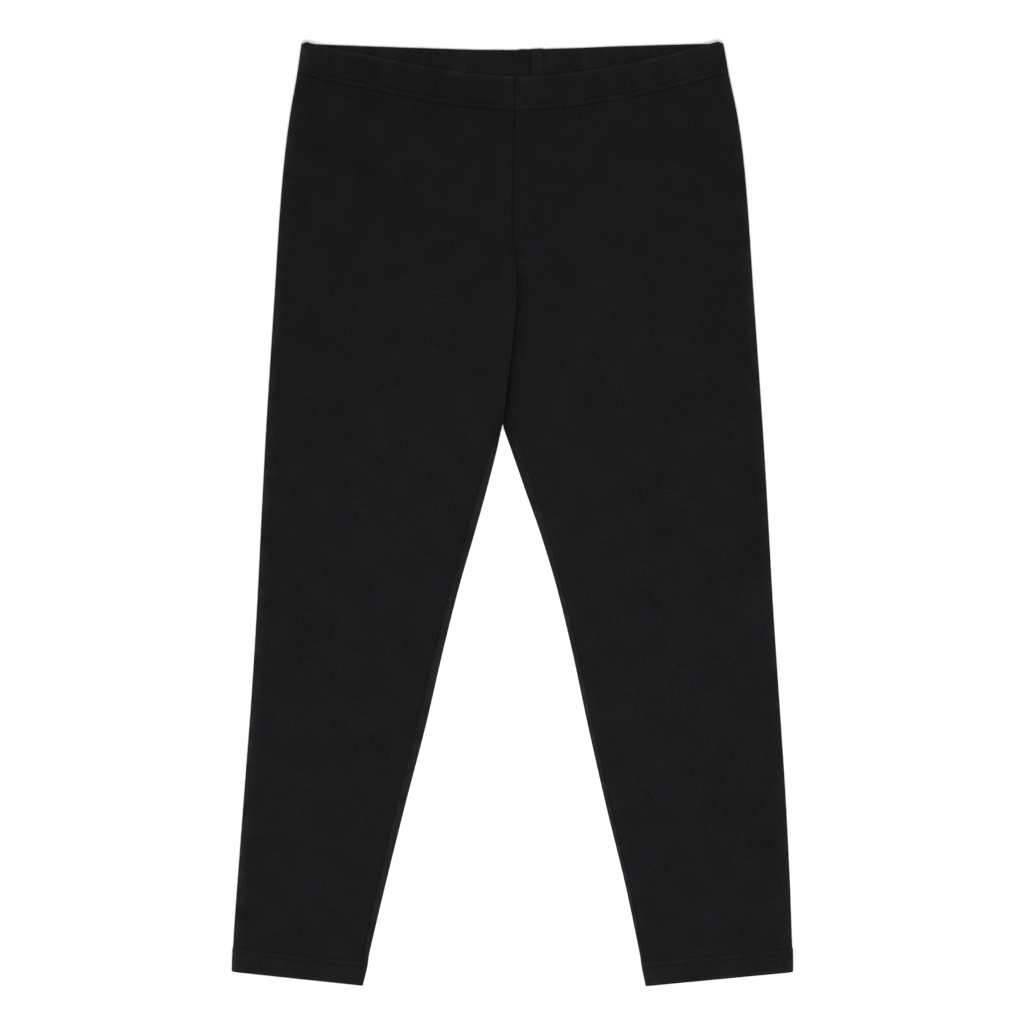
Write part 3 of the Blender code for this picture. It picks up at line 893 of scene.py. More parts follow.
def build_wall(name, form, sink, wall, light_and_shade, turned=0):
    """A closed wall of cloth. Sink is how deep its outer points lie below the form. Turned is 1 or -1
    where its top or bottom edge is a fold, and the rows of a leg below the fork are closed rings."""
    outer = form.outer - sink[:, :, None] * form.out
    inner = form.inner
    columns, rows = sink.shape
    tips = np.zeros((columns, 0, 3))
    if turned:
        end = -1 if turned > 0 else 0
        middle, half = (outer[:, end] + inner[:, end]) / 2, (outer[:, end] - inner[:, end]) / 2
        angles = np.linspace(0, math.pi, TIP_SEGMENTS + 1)[1:-1]
        outwards = np.array([0, turned * (wall / 2 + NAP_REACH), 0])
        tips = np.stack([middle + half * math.cos(a) + outwards * math.sin(a) for a in angles], 1)
    ring = round_wall(outer, tips, inner, turned)
    around = ring.shape[1]
    if turned < 0:
        is_closed = np.ones(around, bool)
    else:
        is_closed = np.concatenate([form.closed, np.zeros(tips.shape[1], bool), form.closed[::-1]])
    index = np.arange(columns * around).reshape(columns, around)
    index[-1] = np.where(is_closed, index[0], index[-1])
    used, flat = np.unique(index, return_inverse=True)
    index = flat.reshape(index.shape)
    following = np.roll(index, -1, axis=1)
    faces = np.stack([index[:-1], following[:-1], following[1:], index[1:]], -1).reshape(-1, 4).tolist()
    for column in (0, -1):
        line = index[column]
        for i in range(rows - 1):
            if not (is_closed[i] and is_closed[i + 1]):
                faces.append([line[i], line[i + 1], line[around - 2 - i], line[around - 1 - i]])
        if turned > 0:
            faces.append(line[rows - 1:around - rows + 1].tolist())
    mesh = bpy.data.meshes.new(name)
    mesh.from_pydata((ring.reshape(-1, 3)[used] * METRES).tolist(), [], faces)
    write_attributes(mesh, form, used, tips.shape[1], turned, light_and_shade)
    shell = bmesh.new()
    shell.from_mesh(mesh)
    bmesh.ops.recalc_face_normals(shell, faces=shell.faces)
    shell.to_mesh(mesh)
    shell.free()
    mesh.shade_smooth()
    mesh.set_sharp_from_angle(angle=SHARP_ANGLE)
    piece = bpy.data.objects.new(name, mesh)
    bpy.context.scene.collection.objects.link(piece)
    mesh.materials.append(bpy.data.materials.get("brushed_jersey") or brushed_jersey())
    return piece


def write_attributes(mesh, form, used, tip_count, turned, light_and_shade):
    """Writes the cloth's painted shade and painted light, where loose fibres lie on it and its own flat
    coordinates to the mesh."""

    def ringed(values, on_tips, on_inner):
        tips = np.repeat(on_tips[:, None], tip_count, 1)
        return round_wall(values, tips, on_inner, turned).reshape(-1)[used].astype(np.float32)

    end = 0 if turned < 0 else -1
    from_edge = np.minimum(form.levels - form.levels[0], form.levels[-1] - form.levels)
    from_side = np.minimum(form.fold - FOLD_DEPTH, form.inward - FIBRE_MARGIN)
    open_face = (from_side > 0) & (from_edge > FIBRE_EDGE) & ~form.back[:, None]
    for name, values, on_inner in (
        # painted shade and painted light, which the material turns into darker and lighter colour
        ("shade", light_and_shade.shade, light_and_shade.inner_shade),
        ("rubbed", light_and_shade.rubbed, light_and_shade.inner_rubbed),
        ("fibres", open_face.astype(float), np.zeros(open_face.shape)),
        ("cloth_u", form.arc, form.arc),
        ("cloth_v", form.outer[:, :, 1], form.outer[:, :, 1]),
    ):
        attribute = mesh.attributes.new(name, "FLOAT", "POINT")
        attribute.data.foreach_set("value", ringed(values, values[:, end], on_inner))


def declare(piece, node):
    """Rides the piece on its body in place of its solid."""
    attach(piece, BODY)
    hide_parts(node)


def steps_between(low, high, step):
    """Even levels from low to high, as near to a step apart as fits."""
    return np.linspace(low, high, max(int(round((high - low) / step)), 1) + 1)


def panel_levels():
    """Levels of a leg panel's rows: finest at its two seams and fine near the fork."""
    half_gap = in_mm(settings("seams").gap) / 2
    top, bottom = CASING_SEAM - half_gap, HEM_SEAM + half_gap
    crotch_top, crotch_bottom = FORK + CROTCH_REACH, FORK - CROTCH_REACH
    above_fork, below_fork = FORK + FORK_ROWS[0], FORK - FORK_ROWS[1]
    levels = [top - offset for offset in FINE_ROWS] + [bottom + offset for offset in FINE_ROWS]
    levels += list(steps_between(crotch_top, top - FINE_ROWS[-1], PANEL_STEP)[:-1])
    levels += list(steps_between(above_fork, crotch_top, CROTCH_STEP)[:-1])
    levels += list(steps_between(crotch_bottom, below_fork, CROTCH_STEP))
    levels += list(steps_between(bottom + FINE_ROWS[-1], crotch_bottom, PANEL_STEP)[1:-1])
    return sorted(levels)


def inseam_groove(form, side):
    """Share of the full groove along an inseam, which begins near where the four seams meet."""
    below = ease((form.outer[:, :, 1] - side.inseam_top) / INSEAM_START + 1)
    return ease(np.abs(form.seam) / in_mm(settings("seams").groove_width)) * below


def fold_highlights(form, side):
    """Painted highlights: on the side folds, on the strip between an inseam and its fold, and
    where the right panel's edge turns under at the fork."""
    y = form.outer[:, :, 1]
    outside = sum(band(form.fold, highlight) for highlight in SIDE_FOLD_HIGHLIGHTS) * smooth(SIDE_HIGHLIGHTS, side.name, y)
    strip = smooth(STRIPS, side.name, y) * (1 + band(form.inward, STRIP_FOLD_HIGHLIGHT))
    rim = band(form.inward, INNER_RIM) * ramp(y, INNER_RIM_LEVELS)
    if side.name == "right":
        rim = np.maximum(rim, band(form.inward, LAP_RIM) * band(y, LAP_RIM_LEVELS))
    return np.maximum(outside, np.maximum(strip * ease(form.seam / STRIP_EDGE), rim))


def centre_shade(form, side):
    """Shade along the centre seam. The left panel lies in the shade of the right one's roll, deepest
    above the fork, and so do the tops of the inner folds."""
    y = form.outer[:, :, 1]
    line = band(form.inward, SEAM_LINE) * ramp(y, SEAM_LINE_LEVELS)
    shade = np.maximum(line, band(form.inward, FORK_SHADE) * band(y, FORK_SHADE_LEVELS))
    if side.name == "right":
        return shade
    lapped = ramp(y, LAP_TOP) * ramp(y, LAP_BOTTOM)
    strength = LEFT_SHADE + (LAP_SHADE + band(y, LAP_DEEPEST)) * lapped
    width = LEFT_SHADE_WIDTH + (LAP_SHADE_WIDTH + band(y, LAP_WIDEST)) * lapped
    core = band(form.inward, LAP_CORE) * band(y, LAP_CORE_LEVELS)
    beside = np.maximum(strength * bell(form.inward, width), core)
    return np.maximum(shade, np.where(form.back[:, None], 0, beside))


def leg_panel(side):
    """Front and back of one leg in a single layer of jersey, from the casing seam to the hem seam."""
    wall = in_mm(settings("cloth").wall)
    seams = settings("seams")
    form = form_of(side, panel_levels(), wall, PANEL_PLAN)
    groove = inseam_groove(form, side)
    y = form.outer[:, :, 1]
    top = turned_edge(form, form.levels[-1] - form.levels, in_mm(seams.casing_edge))
    bottom = turned_edge(form, form.levels - form.levels[0], in_mm(seams.hem_edge))
    sink = np.minimum(in_mm(seams.groove_depth) * groove + top + bottom, wall - INNER_CLEAR)
    # painted shade in the inseam and the centre seam, painted highlights on the folds and beside the
    # left inseam
    shade = SIDE_LIGHT_PAINT[side.name].inseam * groove + centre_shade(form, side)
    rubbed = fold_highlights(form, side)
    if side.name == "right":
        shade += band(form.seam, RIGHT_INSEAM_SHADE)
    else:
        shade += LEFT_DEEPER * ramp(y, LEFT_DEEPER_LEVELS) * groove
        rubbed += sum(band(form.seam, highlight) * ramp(y, levels) for highlight, levels in LEFT_INSEAM_HIGHLIGHTS)
    edges = (EDGE_SHADE * top + PANEL_HEM_SHADE * bottom) / in_mm(seams.casing_edge)
    light_and_shade = light_and_shade_of(form, np.maximum(shade, edges), rubbed)
    piece = build_wall("leg_cloth_" + side.name, form, sink, wall, light_and_shade)
    declare(piece, "leg_panel_" + side.name)
    return piece


def needle_rows(form, rows, arc):
    """How far the needle rows and their holes pull the cloth in, how much the holes shade it, and where
    the ridge between the rows stands. Rows are pairs of a level and the strength of its holes, and arc
    is the way along them."""
    seams = settings("seams")
    draw = np.random.default_rng(HOLE_SEED)
    holes = needle_holes(arc, in_mm(seams.pitch))
    apart = np.abs(arc[:, None] - arc[holes])
    nearest, spots = apart.argmin(axis=1), bell(apart.min(axis=1), HOLE_LENGTH)[:, None]
    sink, shade = np.zeros_like(form.arc), np.zeros_like(form.arc)
    for row, strength in rows:
        away = form.levels - row
        pull = draw.uniform(*HOLE_PULL, len(holes))[nearest][:, None]
        sink += in_mm(seams.trough) * bell(away, TROUGH_WIDTH)
        sink += in_mm(seams.hole) * pull * spots * bell(away, HOLE_WIDTH)
        shade += strength * HOLE_SHADE * pull * spots * bell(away, HOLE_SHADE_WIDTH)
    upper = max(row for row, _ in rows)
    ridge = bell(form.levels - upper + in_mm(seams.row_gap) * RIDGE_PLACE, RIDGE_WIDTH)
    return sink, shade * share_at_ends(form, HOLE_END), ridge * np.ones_like(form.arc)


def casing_levels():
    """Levels of the casing's rows: finest at its needle rows."""
    seams = settings("seams")
    bottom = CASING_SEAM + in_mm(seams.gap) / 2
    top = WAIST - in_mm(settings("cloth").casing_wall) / 2
    row = CASING_SEAM + in_mm(seams.row_gap)
    levels = [bottom + offset for offset in FINE_ROWS] + [row + offset for offset in TROUGH_ROWS]
    return levels + list(steps_between(row + TROUGH_ROWS[-1], top, BAND_STEP)[1:])


def hem_levels(side):
    """Levels of a hem's rows: finest at its needle rows."""
    seams = settings("seams")
    top = HEM_SEAM - in_mm(seams.gap) / 2
    bottom = side.hem_edge + in_mm(settings("cloth").hem_wall) / 2
    row = HEM_SEAM - in_mm(seams.row_gap)
    levels = [top - offset for offset in FINE_ROWS] + [row + offset for offset in TROUGH_ROWS]
    return levels + list(steps_between(bottom, row + TROUGH_ROWS[0], BAND_STEP)[:-1])


def above_front_fold(form, side):
    """How far the points lie above the top fold of the casing's front."""
    centre, corner = smooth(CENTRES, "front", WAIST), smooth(GIRTHS, side.name, WAIST)
    across = (form.outer[:, :, 0] - centre) / (corner - centre)
    return form.outer[:, :, 1] - row_y(side, np.full_like(form.arc, WAIST), across, False)


def allowance_strip(form):
    """Where the seam allowance of the centre-back seam lies."""
    return ease((form.inward - ALLOWANCE_WIDTH) / ALLOWANCE_SLOPE) * form.back[:, None]


def raise_allowance(form, strip):
    """Raises the seam allowance inside the casing, and the back's top fold over it."""
    shown = 1 - ease((form.levels - ALLOWANCE_END) / ALLOWANCE_FADE)
    form.inner[:, :, 2] += ALLOWANCE_RISE * strip * shown
    bulge = ramp(form.inward, BULGE) * form.back[:, None]
    lift = ALLOWANCE_LIFT * bulge * ramp(form.levels, BULGE_LEVELS)
    form.inner[:, :, 1] += lift
    form.outer[:, :, 1] += lift


def waist_casing(side):
    """Half of the casing, turned over its elastic at the top, from centre front to centre back."""
    wall = in_mm(settings("cloth").casing_wall)
    seams, light_paint = settings("seams"), SIDE_LIGHT_PAINT[side.name]
    form = form_of(side, casing_levels(), wall, CASING_PLAN, CASING_TURN)
    strip = allowance_strip(form) if side.name == "left" else np.zeros_like(form.arc)
    raise_allowance(form, strip)
    above_seam, below_fold = form.levels - form.levels[0], form.levels[-1] - form.levels
    rows = (
        (form.levels[0], CASING_LOWER_ROW),
        (CASING_SEAM + in_mm(seams.row_gap), light_paint.upper_row),
    )
    sink, shade, ridge = needle_rows(form, rows, form.arc[:, 0])
    edge = turned_edge(form, above_seam, in_mm(seams.casing_edge))
    seam = CASING_CENTRE_SHADE * centre_shade(form, side)
    shade += share_at_ends(form, EDGE_END) * band(above_seam, CASING_ABOVE_SEAM_SHADE)
    shade = np.maximum(shade + EDGE_SHADE * edge / in_mm(seams.casing_edge), seam)
    # painted highlights on the top fold, the ridge between the rows, the corner, beside the
    # centre-front seam and on the side
    rim = light_paint.top_fold * band(below_fold, CASING_RIM) * np.ones_like(form.arc)
    rubbed = np.maximum(fold_highlights(form, side), rim) + CASING_RIDGE_HIGHLIGHT * ridge
    rubbed += light_paint.corner * band(form.fold, CORNER_ACROSS) * band(below_fold, CORNER_DOWN)
    rubbed += band(form.inward, CASING_CENTRE_HIGHLIGHT) * ~form.back[:, None]
    rubbed += light_paint.flank * band(form.fold, FLANK)
    # painted light and painted shade inside the back, and a painted highlight on the seam allowance
    above = above_front_fold(form, side)
    strip = strip * (1 - band(above, ALLOWANCE_SHADE))
    inner_rubbed = INSIDE_LIGHT + np.maximum(INSIDE_RIM * rim, ALLOWANCE_HIGHLIGHT * strip)
    inner_rubbed += band(above, INSIDE_LIGHT_LINE) - band(form.inward, INSIDE_CENTRE)
    inner_shade = np.maximum(seam, light_paint.inside * band(above, INSIDE_SHADE)) * form.back[:, None]
    light_and_shade = light_and_shade_of(form, shade, rubbed, inner_shade, inner_rubbed)
    piece = build_wall("casing_cloth_" + side.name, form, sink + edge, wall, light_and_shade, turned=1)
    declare(piece, "waist_casing_" + side.name)
    return piece


def hem(side):
    """The turned-up end of one leg, two layers thick and round along its bottom fold."""
    wall = in_mm(settings("cloth").hem_wall)
    seams, light_paint = settings("seams"), SIDE_LIGHT_PAINT[side.name]
    form = form_of(side, hem_levels(side), wall, HEM_PLAN)
    rows = (
        (form.levels[-1], HEM_UPPER_ROW),
        (HEM_SEAM - in_mm(seams.row_gap), HEM_LOWER_ROW),
    )
    sink, shade, ridge = needle_rows(form, rows, form.arc[:, -1])
    groove = inseam_groove(form, side)
    edge = turned_edge(form, form.levels[-1] - form.levels, in_mm(seams.hem_edge))
    shade += HEM_EDGE_SHADE * edge / in_mm(seams.casing_edge)
    shade = np.maximum(shade, HEM_INSEAM_SHADE * groove)
    # painted highlights on the bottom fold, the folds and the ridge between the rows, and painted light
    # over the hem
    rim = band(form.levels - form.levels[0], HEM_RIM) * np.ones_like(form.arc)
    rubbed = np.maximum(fold_highlights(form, side), rim) + HEM_RIDGE_HIGHLIGHT * ridge
    rubbed += light_paint.hem + band(form.fold, light_paint.hem_fold) + band(form.seam, light_paint.hem_seam)
    light_and_shade = light_and_shade_of(form, shade, rubbed, 0.0, rim)
    sink = sink + HEM_GROOVE * in_mm(seams.groove_depth) * groove + edge
    piece = build_wall("hem_cloth_" + side.name, form, sink, wall, light_and_shade, turned=-1)
    declare(piece, "hem_" + side.name)
    return piece


# ------------------------------------------------------------------------------- geometry nodes

STITCH_SEGMENTS = 6  # along a stitch
THREAD_SIDES = 6  # round it
FIBRE_SEGMENTS = 8
FIBRE_SIDES = 3
FIBRE_SCALE = (0.45, 1.5)  # of the stated length
FIBRE_FACE = 0.9  # fibres lie on faces with more than this of the "fibres" mark
FIBRE_START, FIBRE_END = (-0.5, 0, 0), (0.5, 0, 0)
FIBRE_BENDS = (  # the two handles between them
    ((-0.3, 0.1, 0), (0.2, 0.2, 0)),
    ((-0.4, 0.5, 0), (0.1, 0.4, 0)),
    ((-0.1, 0.5, 0), (0.2, -0.5, 0)),
    ((-0.6, 0.3, 0), (0.0, -0.3, 0)),
    ((-0.7, 0.8, 0), (0.3, 0.6, 0)),
)


def new_tree(name, inputs):
    """A Geometry Nodes tree with named inputs, and the sockets of its group input by name."""
    tree = bpy.data.node_groups.new(name, "GeometryNodeTree")
    tree.is_modifier = True
    tree.interface.new_socket("Geometry", in_out="INPUT", socket_type="NodeSocketGeometry")
    for label, kind, _ in inputs:
        tree.interface.new_socket(label, in_out="INPUT", socket_type=kind)
    tree.interface.new_socket("Geometry", in_out="OUTPUT", socket_type="NodeSocketGeometry")
    return tree, tree.nodes.new("NodeGroupInput"), tree.nodes.new("NodeGroupOutput")


def add_node(tree, kind, links=(), values=(), **properties):
    """A node with its properties set, then its input sockets linked or given values."""
    node = tree.nodes.new(kind)
    for name, value in properties.items():
        setattr(node, name, value)
    for socket, source in dict(links).items():
        tree.links.new(source, node.inputs[socket])
    for socket, value in dict(values).items():
        node.inputs[socket].default_value = value
    return node


def math_node(tree, operation, first, second):
    """A Math node of two inputs, each a socket or a number."""
    node = tree.nodes.new("ShaderNodeMath")
    node.operation = operation
    for place, source in enumerate((first, second)):
        if isinstance(source, bpy.types.NodeSocket):
            tree.links.new(source, node.inputs[place])
        else:
            node.inputs[place].default_value = source
    return node.outputs[0]


def grown(carrier, tree, inputs, name):
    """The tree's result on the carrier as a plain mesh object. The carrier is removed."""
    modifier = carrier.modifiers.new(tree.name, "NODES")
    modifier.node_group = tree
    items = tree.interface.items_tree
    sockets = {item.name: item.identifier for item in items if item.in_out == "INPUT"}
    for label, _, value in inputs:
        modifier[sockets[label]] = value
    graph = bpy.context.evaluated_depsgraph_get()
    mesh = bpy.data.meshes.new_from_object(carrier.evaluated_get(graph), depsgraph=graph)
    mesh.name = name
    piece = bpy.data.objects.new(name, mesh)
    bpy.context.scene.collection.objects.link(piece)
    bpy.data.objects.remove(carrier)
    return piece


def stitch_tree(inputs):
    """Lays one arched stitch along every edge of a needle row's path."""
    tree, entry, result = new_tree("Thread Stitches", inputs)
    ends = add_node(tree, "GeometryNodeInputMeshEdgeVertices")
    along = add_node(
        tree, "ShaderNodeVectorMath",
        {0: ends.outputs["Position 2"], 1: ends.outputs["Position 1"]}, operation="SUBTRACT",
    )
    span = add_node(tree, "ShaderNodeVectorMath", {0: along.outputs[0]}, operation="LENGTH")
    up = add_node(tree, "GeometryNodeInputNamedAttribute", (), {"Name": "up"}, data_type="FLOAT_VECTOR")
    kept = add_node(
        tree, "GeometryNodeCaptureAttribute", {"Geometry": entry.outputs["Geometry"]}, domain="EDGE"
    )
    for label, kind, source in (
        ("Along", "VECTOR", along.outputs[0]),
        ("Up", "VECTOR", up.outputs["Attribute"]),
        ("Span", "FLOAT", span.outputs["Value"]),
    ):
        kept.capture_items.new(kind, label)
        tree.links.new(source, kept.inputs[label])
    points = add_node(
        tree, "GeometryNodeMeshToPoints", {"Mesh": kept.outputs["Geometry"]}, mode="EDGES"
    )
    faced = add_node(
        tree, "FunctionNodeAlignRotationToVector", {"Vector": kept.outputs["Along"]}, axis="X"
    )
    turned = add_node(
        tree, "FunctionNodeAlignRotationToVector",
        {"Rotation": faced.outputs["Rotation"], "Vector": kept.outputs["Up"]}, axis="Z", pivot_axis="X",
    )
    half = math_node(tree, "MULTIPLY", entry.outputs["Stitch"], 0.5)
    below = math_node(tree, "MULTIPLY", entry.outputs["Sink"], -1)
    behind = math_node(tree, "MULTIPLY", half, -1)
    start = add_node(tree, "ShaderNodeCombineXYZ", {"X": behind, "Z": below})
    middle = add_node(tree, "ShaderNodeCombineXYZ", {"Z": entry.outputs["Rise"]})
    end = add_node(tree, "ShaderNodeCombineXYZ", {"X": half, "Z": below})
    arch = add_node(
        tree, "GeometryNodeCurveQuadraticBezier",
        {"Start": start.outputs[0], "Middle": middle.outputs[0], "End": end.outputs[0]},
        {"Resolution": STITCH_SEGMENTS},
    )
    thread = strand(tree, arch.outputs["Curve"], entry.outputs["Thread"], THREAD_SIDES)
    span_share = math_node(tree, "DIVIDE", kept.outputs["Span"], entry.outputs["Stitch"])
    stretch = add_node(tree, "ShaderNodeCombineXYZ", {"X": span_share}, {"Y": 1.0, "Z": 1.0})
    laid = add_node(
        tree, "GeometryNodeInstanceOnPoints",
        {
            "Points": points.outputs["Points"], "Instance": thread.outputs["Mesh"],
            "Rotation": turned.outputs["Rotation"], "Scale": stretch.outputs[0],
        },
    )
    finish_tree(tree, laid.outputs["Instances"], entry, result)
    return tree


def strand(tree, curve, thickness, sides):
    """A closed tube along a curve."""
    radius = math_node(tree, "MULTIPLY", thickness, 0.5)
    profile = add_node(
        tree, "GeometryNodeCurvePrimitiveCircle", {"Radius": radius}, {"Resolution": sides}
    )
    return add_node(
        tree, "GeometryNodeCurveToMesh",
        {"Curve": curve, "Profile Curve": profile.outputs["Curve"]}, {"Fill Caps": True},
    )


def finish_tree(tree, instances, entry, result):
    """Realizes the instances, shades them smooth and gives them their material."""
    real = add_node(tree, "GeometryNodeRealizeInstances", {"Geometry": instances})
    soft = add_node(tree, "GeometryNodeSetShadeSmooth", {"Geometry": real.outputs["Geometry"]})
    painted = add_node(
        tree, "GeometryNodeSetMaterial",
        {"Geometry": soft.outputs["Geometry"], "Material": entry.outputs["Material"]},
    )
    tree.links.new(painted.outputs["Geometry"], result.inputs["Geometry"])


def row_path(side, level, wall, plan, seam_level):
    """Where the needle goes down along one row, on the cloth, and the way out of it there."""
    pitch = in_mm(settings("seams").pitch)
    holes = needle_holes(form_of(side, [seam_level], wall, plan).arc[:, 0], pitch)
    form = form_of(side, [level], wall, plan)
    return form.outer[holes, 0], form.out[holes, 0], bool(form.closed[0])


def stitches(name, paths):
    """Sewing thread along needle rows."""
    seams = settings("seams")
    points, ups, edges = [], [], []
    for places, outward, ring in paths:
        first = len(points)
        points += (places * METRES).tolist()
        ups += outward.tolist()
        edges += [(i, i + 1) for i in range(first, len(points) - 1)]
        if ring:
            edges.append((len(points) - 1, first))
    mesh = bpy.data.meshes.new(name + "_path")
    mesh.from_pydata(points, edges, [])
    attribute = mesh.attributes.new("up", "FLOAT_VECTOR", "POINT")
    attribute.data.foreach_set("vector", np.array(ups, np.float32).ravel())
    carrier = bpy.data.objects.new(name + "_path", mesh)
    bpy.context.scene.collection.objects.link(carrier)
    inputs = (
        ("Thread", "NodeSocketFloat", seams.thread),
        ("Stitch", "NodeSocketFloat", seams.pitch),
        ("Rise", "NodeSocketFloat", seams.rise),
        ("Sink", "NodeSocketFloat", seams.sink),
        ("Material", "NodeSocketMaterial", bpy.data.materials.get("sewing_thread") or sewing_thread()),
    )
    tree = bpy.data.node_groups.get("Thread Stitches") or stitch_tree(inputs)
    piece = grown(carrier, tree, inputs, name)
    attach(piece, BODY)
    return piece


def fibre_tree(inputs):
    """Scatters bent fibres over the brushed face, each lying flat on it."""
    tree, entry, result = new_tree("Loose Fibres", inputs)
    chosen = add_node(
        tree, "GeometryNodeInputNamedAttribute", (), {"Name": "fibres"}, data_type="FLOAT"
    )
    whole = add_node(
        tree, "FunctionNodeCompare", {"A": chosen.outputs["Attribute"]}, {"B": FIBRE_FACE},
        data_type="FLOAT", operation="GREATER_THAN",
    )
    scattered = add_node(
        tree, "GeometryNodeDistributePointsOnFaces",
        {
            "Mesh": entry.outputs["Geometry"], "Selection": whole.outputs[0],
            "Density": entry.outputs["Density"], "Seed": entry.outputs["Seed"],
        },
    )
    shapes = add_node(tree, "GeometryNodeGeometryToInstance")
    size = add_node(tree, "ShaderNodeCombineXYZ", {axis: entry.outputs["Length"] for axis in "XYZ"})
    for first, second in FIBRE_BENDS:
        bend = add_node(
            tree, "GeometryNodeCurvePrimitiveBezierSegment", (),
            {
                "Resolution": FIBRE_SEGMENTS, "Start": FIBRE_START, "Start Handle": first,
                "End Handle": second, "End": FIBRE_END,
            },
        )
        sized = add_node(
            tree, "GeometryNodeTransform", {"Geometry": bend.outputs["Curve"], "Scale": size.outputs[0]}
        )
        fibre = strand(tree, sized.outputs["Geometry"], entry.outputs["Thickness"], FIBRE_SIDES)
        tree.links.new(fibre.outputs["Mesh"], shapes.inputs["Geometry"])
    spin = add_node(
        tree, "FunctionNodeRandomValue", {"Seed": entry.outputs["Seed"]}, {"Max": (0, 0, math.tau)},
        data_type="FLOAT_VECTOR",
    )
    turned = add_node(
        tree, "FunctionNodeRotateRotation",
        {"Rotation": scattered.outputs["Rotation"], "Rotate By": spin.outputs["Value"]},
        rotation_space="LOCAL",
    )
    scale = add_node(
        tree, "FunctionNodeRandomValue", {"Seed": entry.outputs["Seed"]},
        {2: FIBRE_SCALE[0], 3: FIBRE_SCALE[1]}, data_type="FLOAT",
    )
    laid = add_node(
        tree, "GeometryNodeInstanceOnPoints",
        {
            "Points": scattered.outputs["Points"], "Instance": shapes.outputs["Instances"],
            "Rotation": turned.outputs["Rotation"], "Scale": scale.outputs[1],
        },
        {"Pick Instance": True},
    )
    finish_tree(tree, laid.outputs["Instances"], entry, result)
    return tree


def loose_fibres():
    """The few longer fibres that lie on the brushed face, where they catch the light."""
    nap = settings("nap")
    shell = bmesh.new()
    for node in ("leg_cloth_", "casing_cloth_", "hem_cloth_"):
        for side in SIDES:
            shell.from_mesh(bpy.data.objects[node + side.name].data)
    mesh = bpy.data.meshes.new("fibre_ground")
    shell.to_mesh(mesh)
    shell.free()
    carrier = bpy.data.objects.new("fibre_ground", mesh)
    bpy.context.scene.collection.objects.link(carrier)
    inputs = (
        ("Density", "NodeSocketFloat", nap.density),
        ("Length", "NodeSocketFloat", nap.length),
        ("Thickness", "NodeSocketFloat", nap.thickness),
        ("Seed", "NodeSocketInt", nap.seed),
        ("Material", "NodeSocketMaterial", nap_fibre()),
    )
    piece = grown(carrier, fibre_tree(inputs), inputs, "nap_fibres")
    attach(piece, BODY)
    return piece


# ------------------------------------------------------------------------------------ materials

PATCH_ROUGHNESS = 0.9
MOTTLE_DETAIL = 0.8
DYE_SIZE, DYE_DETAIL = 0.02, 3.0
TWIST_SIZE, TWIST_CONTRAST = 0.0004, 0.35
FIBRE_TONE_SIZE, FIBRE_TONE_CONTRAST = 0.006, 0.8
LOOP_SLANT = 1.2  # how far a loop's legs slope, in courses
LOOP_DEPTH = 0.25  # share of a wale's height that the loops take off
HIGHLIGHT_LEAST = 0.2  # a fold keeps at least this share of its painted highlight
SHADE_MOST = 0.85  # a seam is darkened by at most this share
TUFT_LEAST = 0.15  # lightness of the darkest tufts
KNIT_HEIGHT = 0.35  # height of the knitting for one of the nap
NAP_BUMP = {"Strength": 0.6, "Distance": 0.00018}
TWIST_BUMP = {"Distance": 0.00005}

# Values that are the same all over a surface, by the shader's sockets
JERSEY_SURFACE = {
    "Roughness": 0.95, "Specular IOR Level": 0.05, "Sheen Weight": 0.03, "Sheen Roughness": 0.4,
    "Sheen Tint": (0.85, 0.88, 1.0, 1.0),
}
THREAD_SURFACE = {"Roughness": 0.8, "Specular IOR Level": 0.08}
FIBRE_SURFACE = {"Roughness": 0.9, "Specular IOR Level": 0.1}
FLOOR_SURFACE = {"Roughness": 1.0, "Specular IOR Level": 0.0}


def new_group(name, inputs, outputs):
    """A shader node group with named float or vector sockets."""
    group = bpy.data.node_groups.new(name, "ShaderNodeTree")
    for label, kind in inputs:
        group.interface.new_socket(label, in_out="INPUT", socket_type=kind)
    for label in outputs:
        group.interface.new_socket(label, in_out="OUTPUT", socket_type="NodeSocketFloat")
    return group, group.nodes.new("NodeGroupInput"), group.nodes.new("NodeGroupOutput")


def patchy():
    """Lightness of soft patches or tufts, round 1, and their height. Detail adds finer ones to them."""
    found = bpy.data.node_groups.get("Patchy")
    if found:
        return found
    inputs = (
        ("Vector", "NodeSocketVector"), ("Size", "NodeSocketFloat"),
        ("Contrast", "NodeSocketFloat"), ("Detail", "NodeSocketFloat"),
    )
    group, entry, result = new_group("Patchy", inputs, ("Lightness", "Height"))
    scale = math_node(group, "DIVIDE", 1.0, entry.outputs["Size"])
    noise = add_node(
        group, "ShaderNodeTexNoise",
        {"Vector": entry.outputs["Vector"], "Scale": scale, "Detail": entry.outputs["Detail"]},
        {"Roughness": PATCH_ROUGHNESS},
    )
    centred = math_node(group, "SUBTRACT", noise.outputs["Fac"], 0.5)
    swing = math_node(group, "MULTIPLY", centred, entry.outputs["Contrast"])
    doubled = math_node(group, "MULTIPLY", swing, 2.0)
    group.links.new(math_node(group, "ADD", doubled, 1.0), result.inputs["Lightness"])
    group.links.new(noise.outputs["Fac"], result.inputs["Height"])
    return group


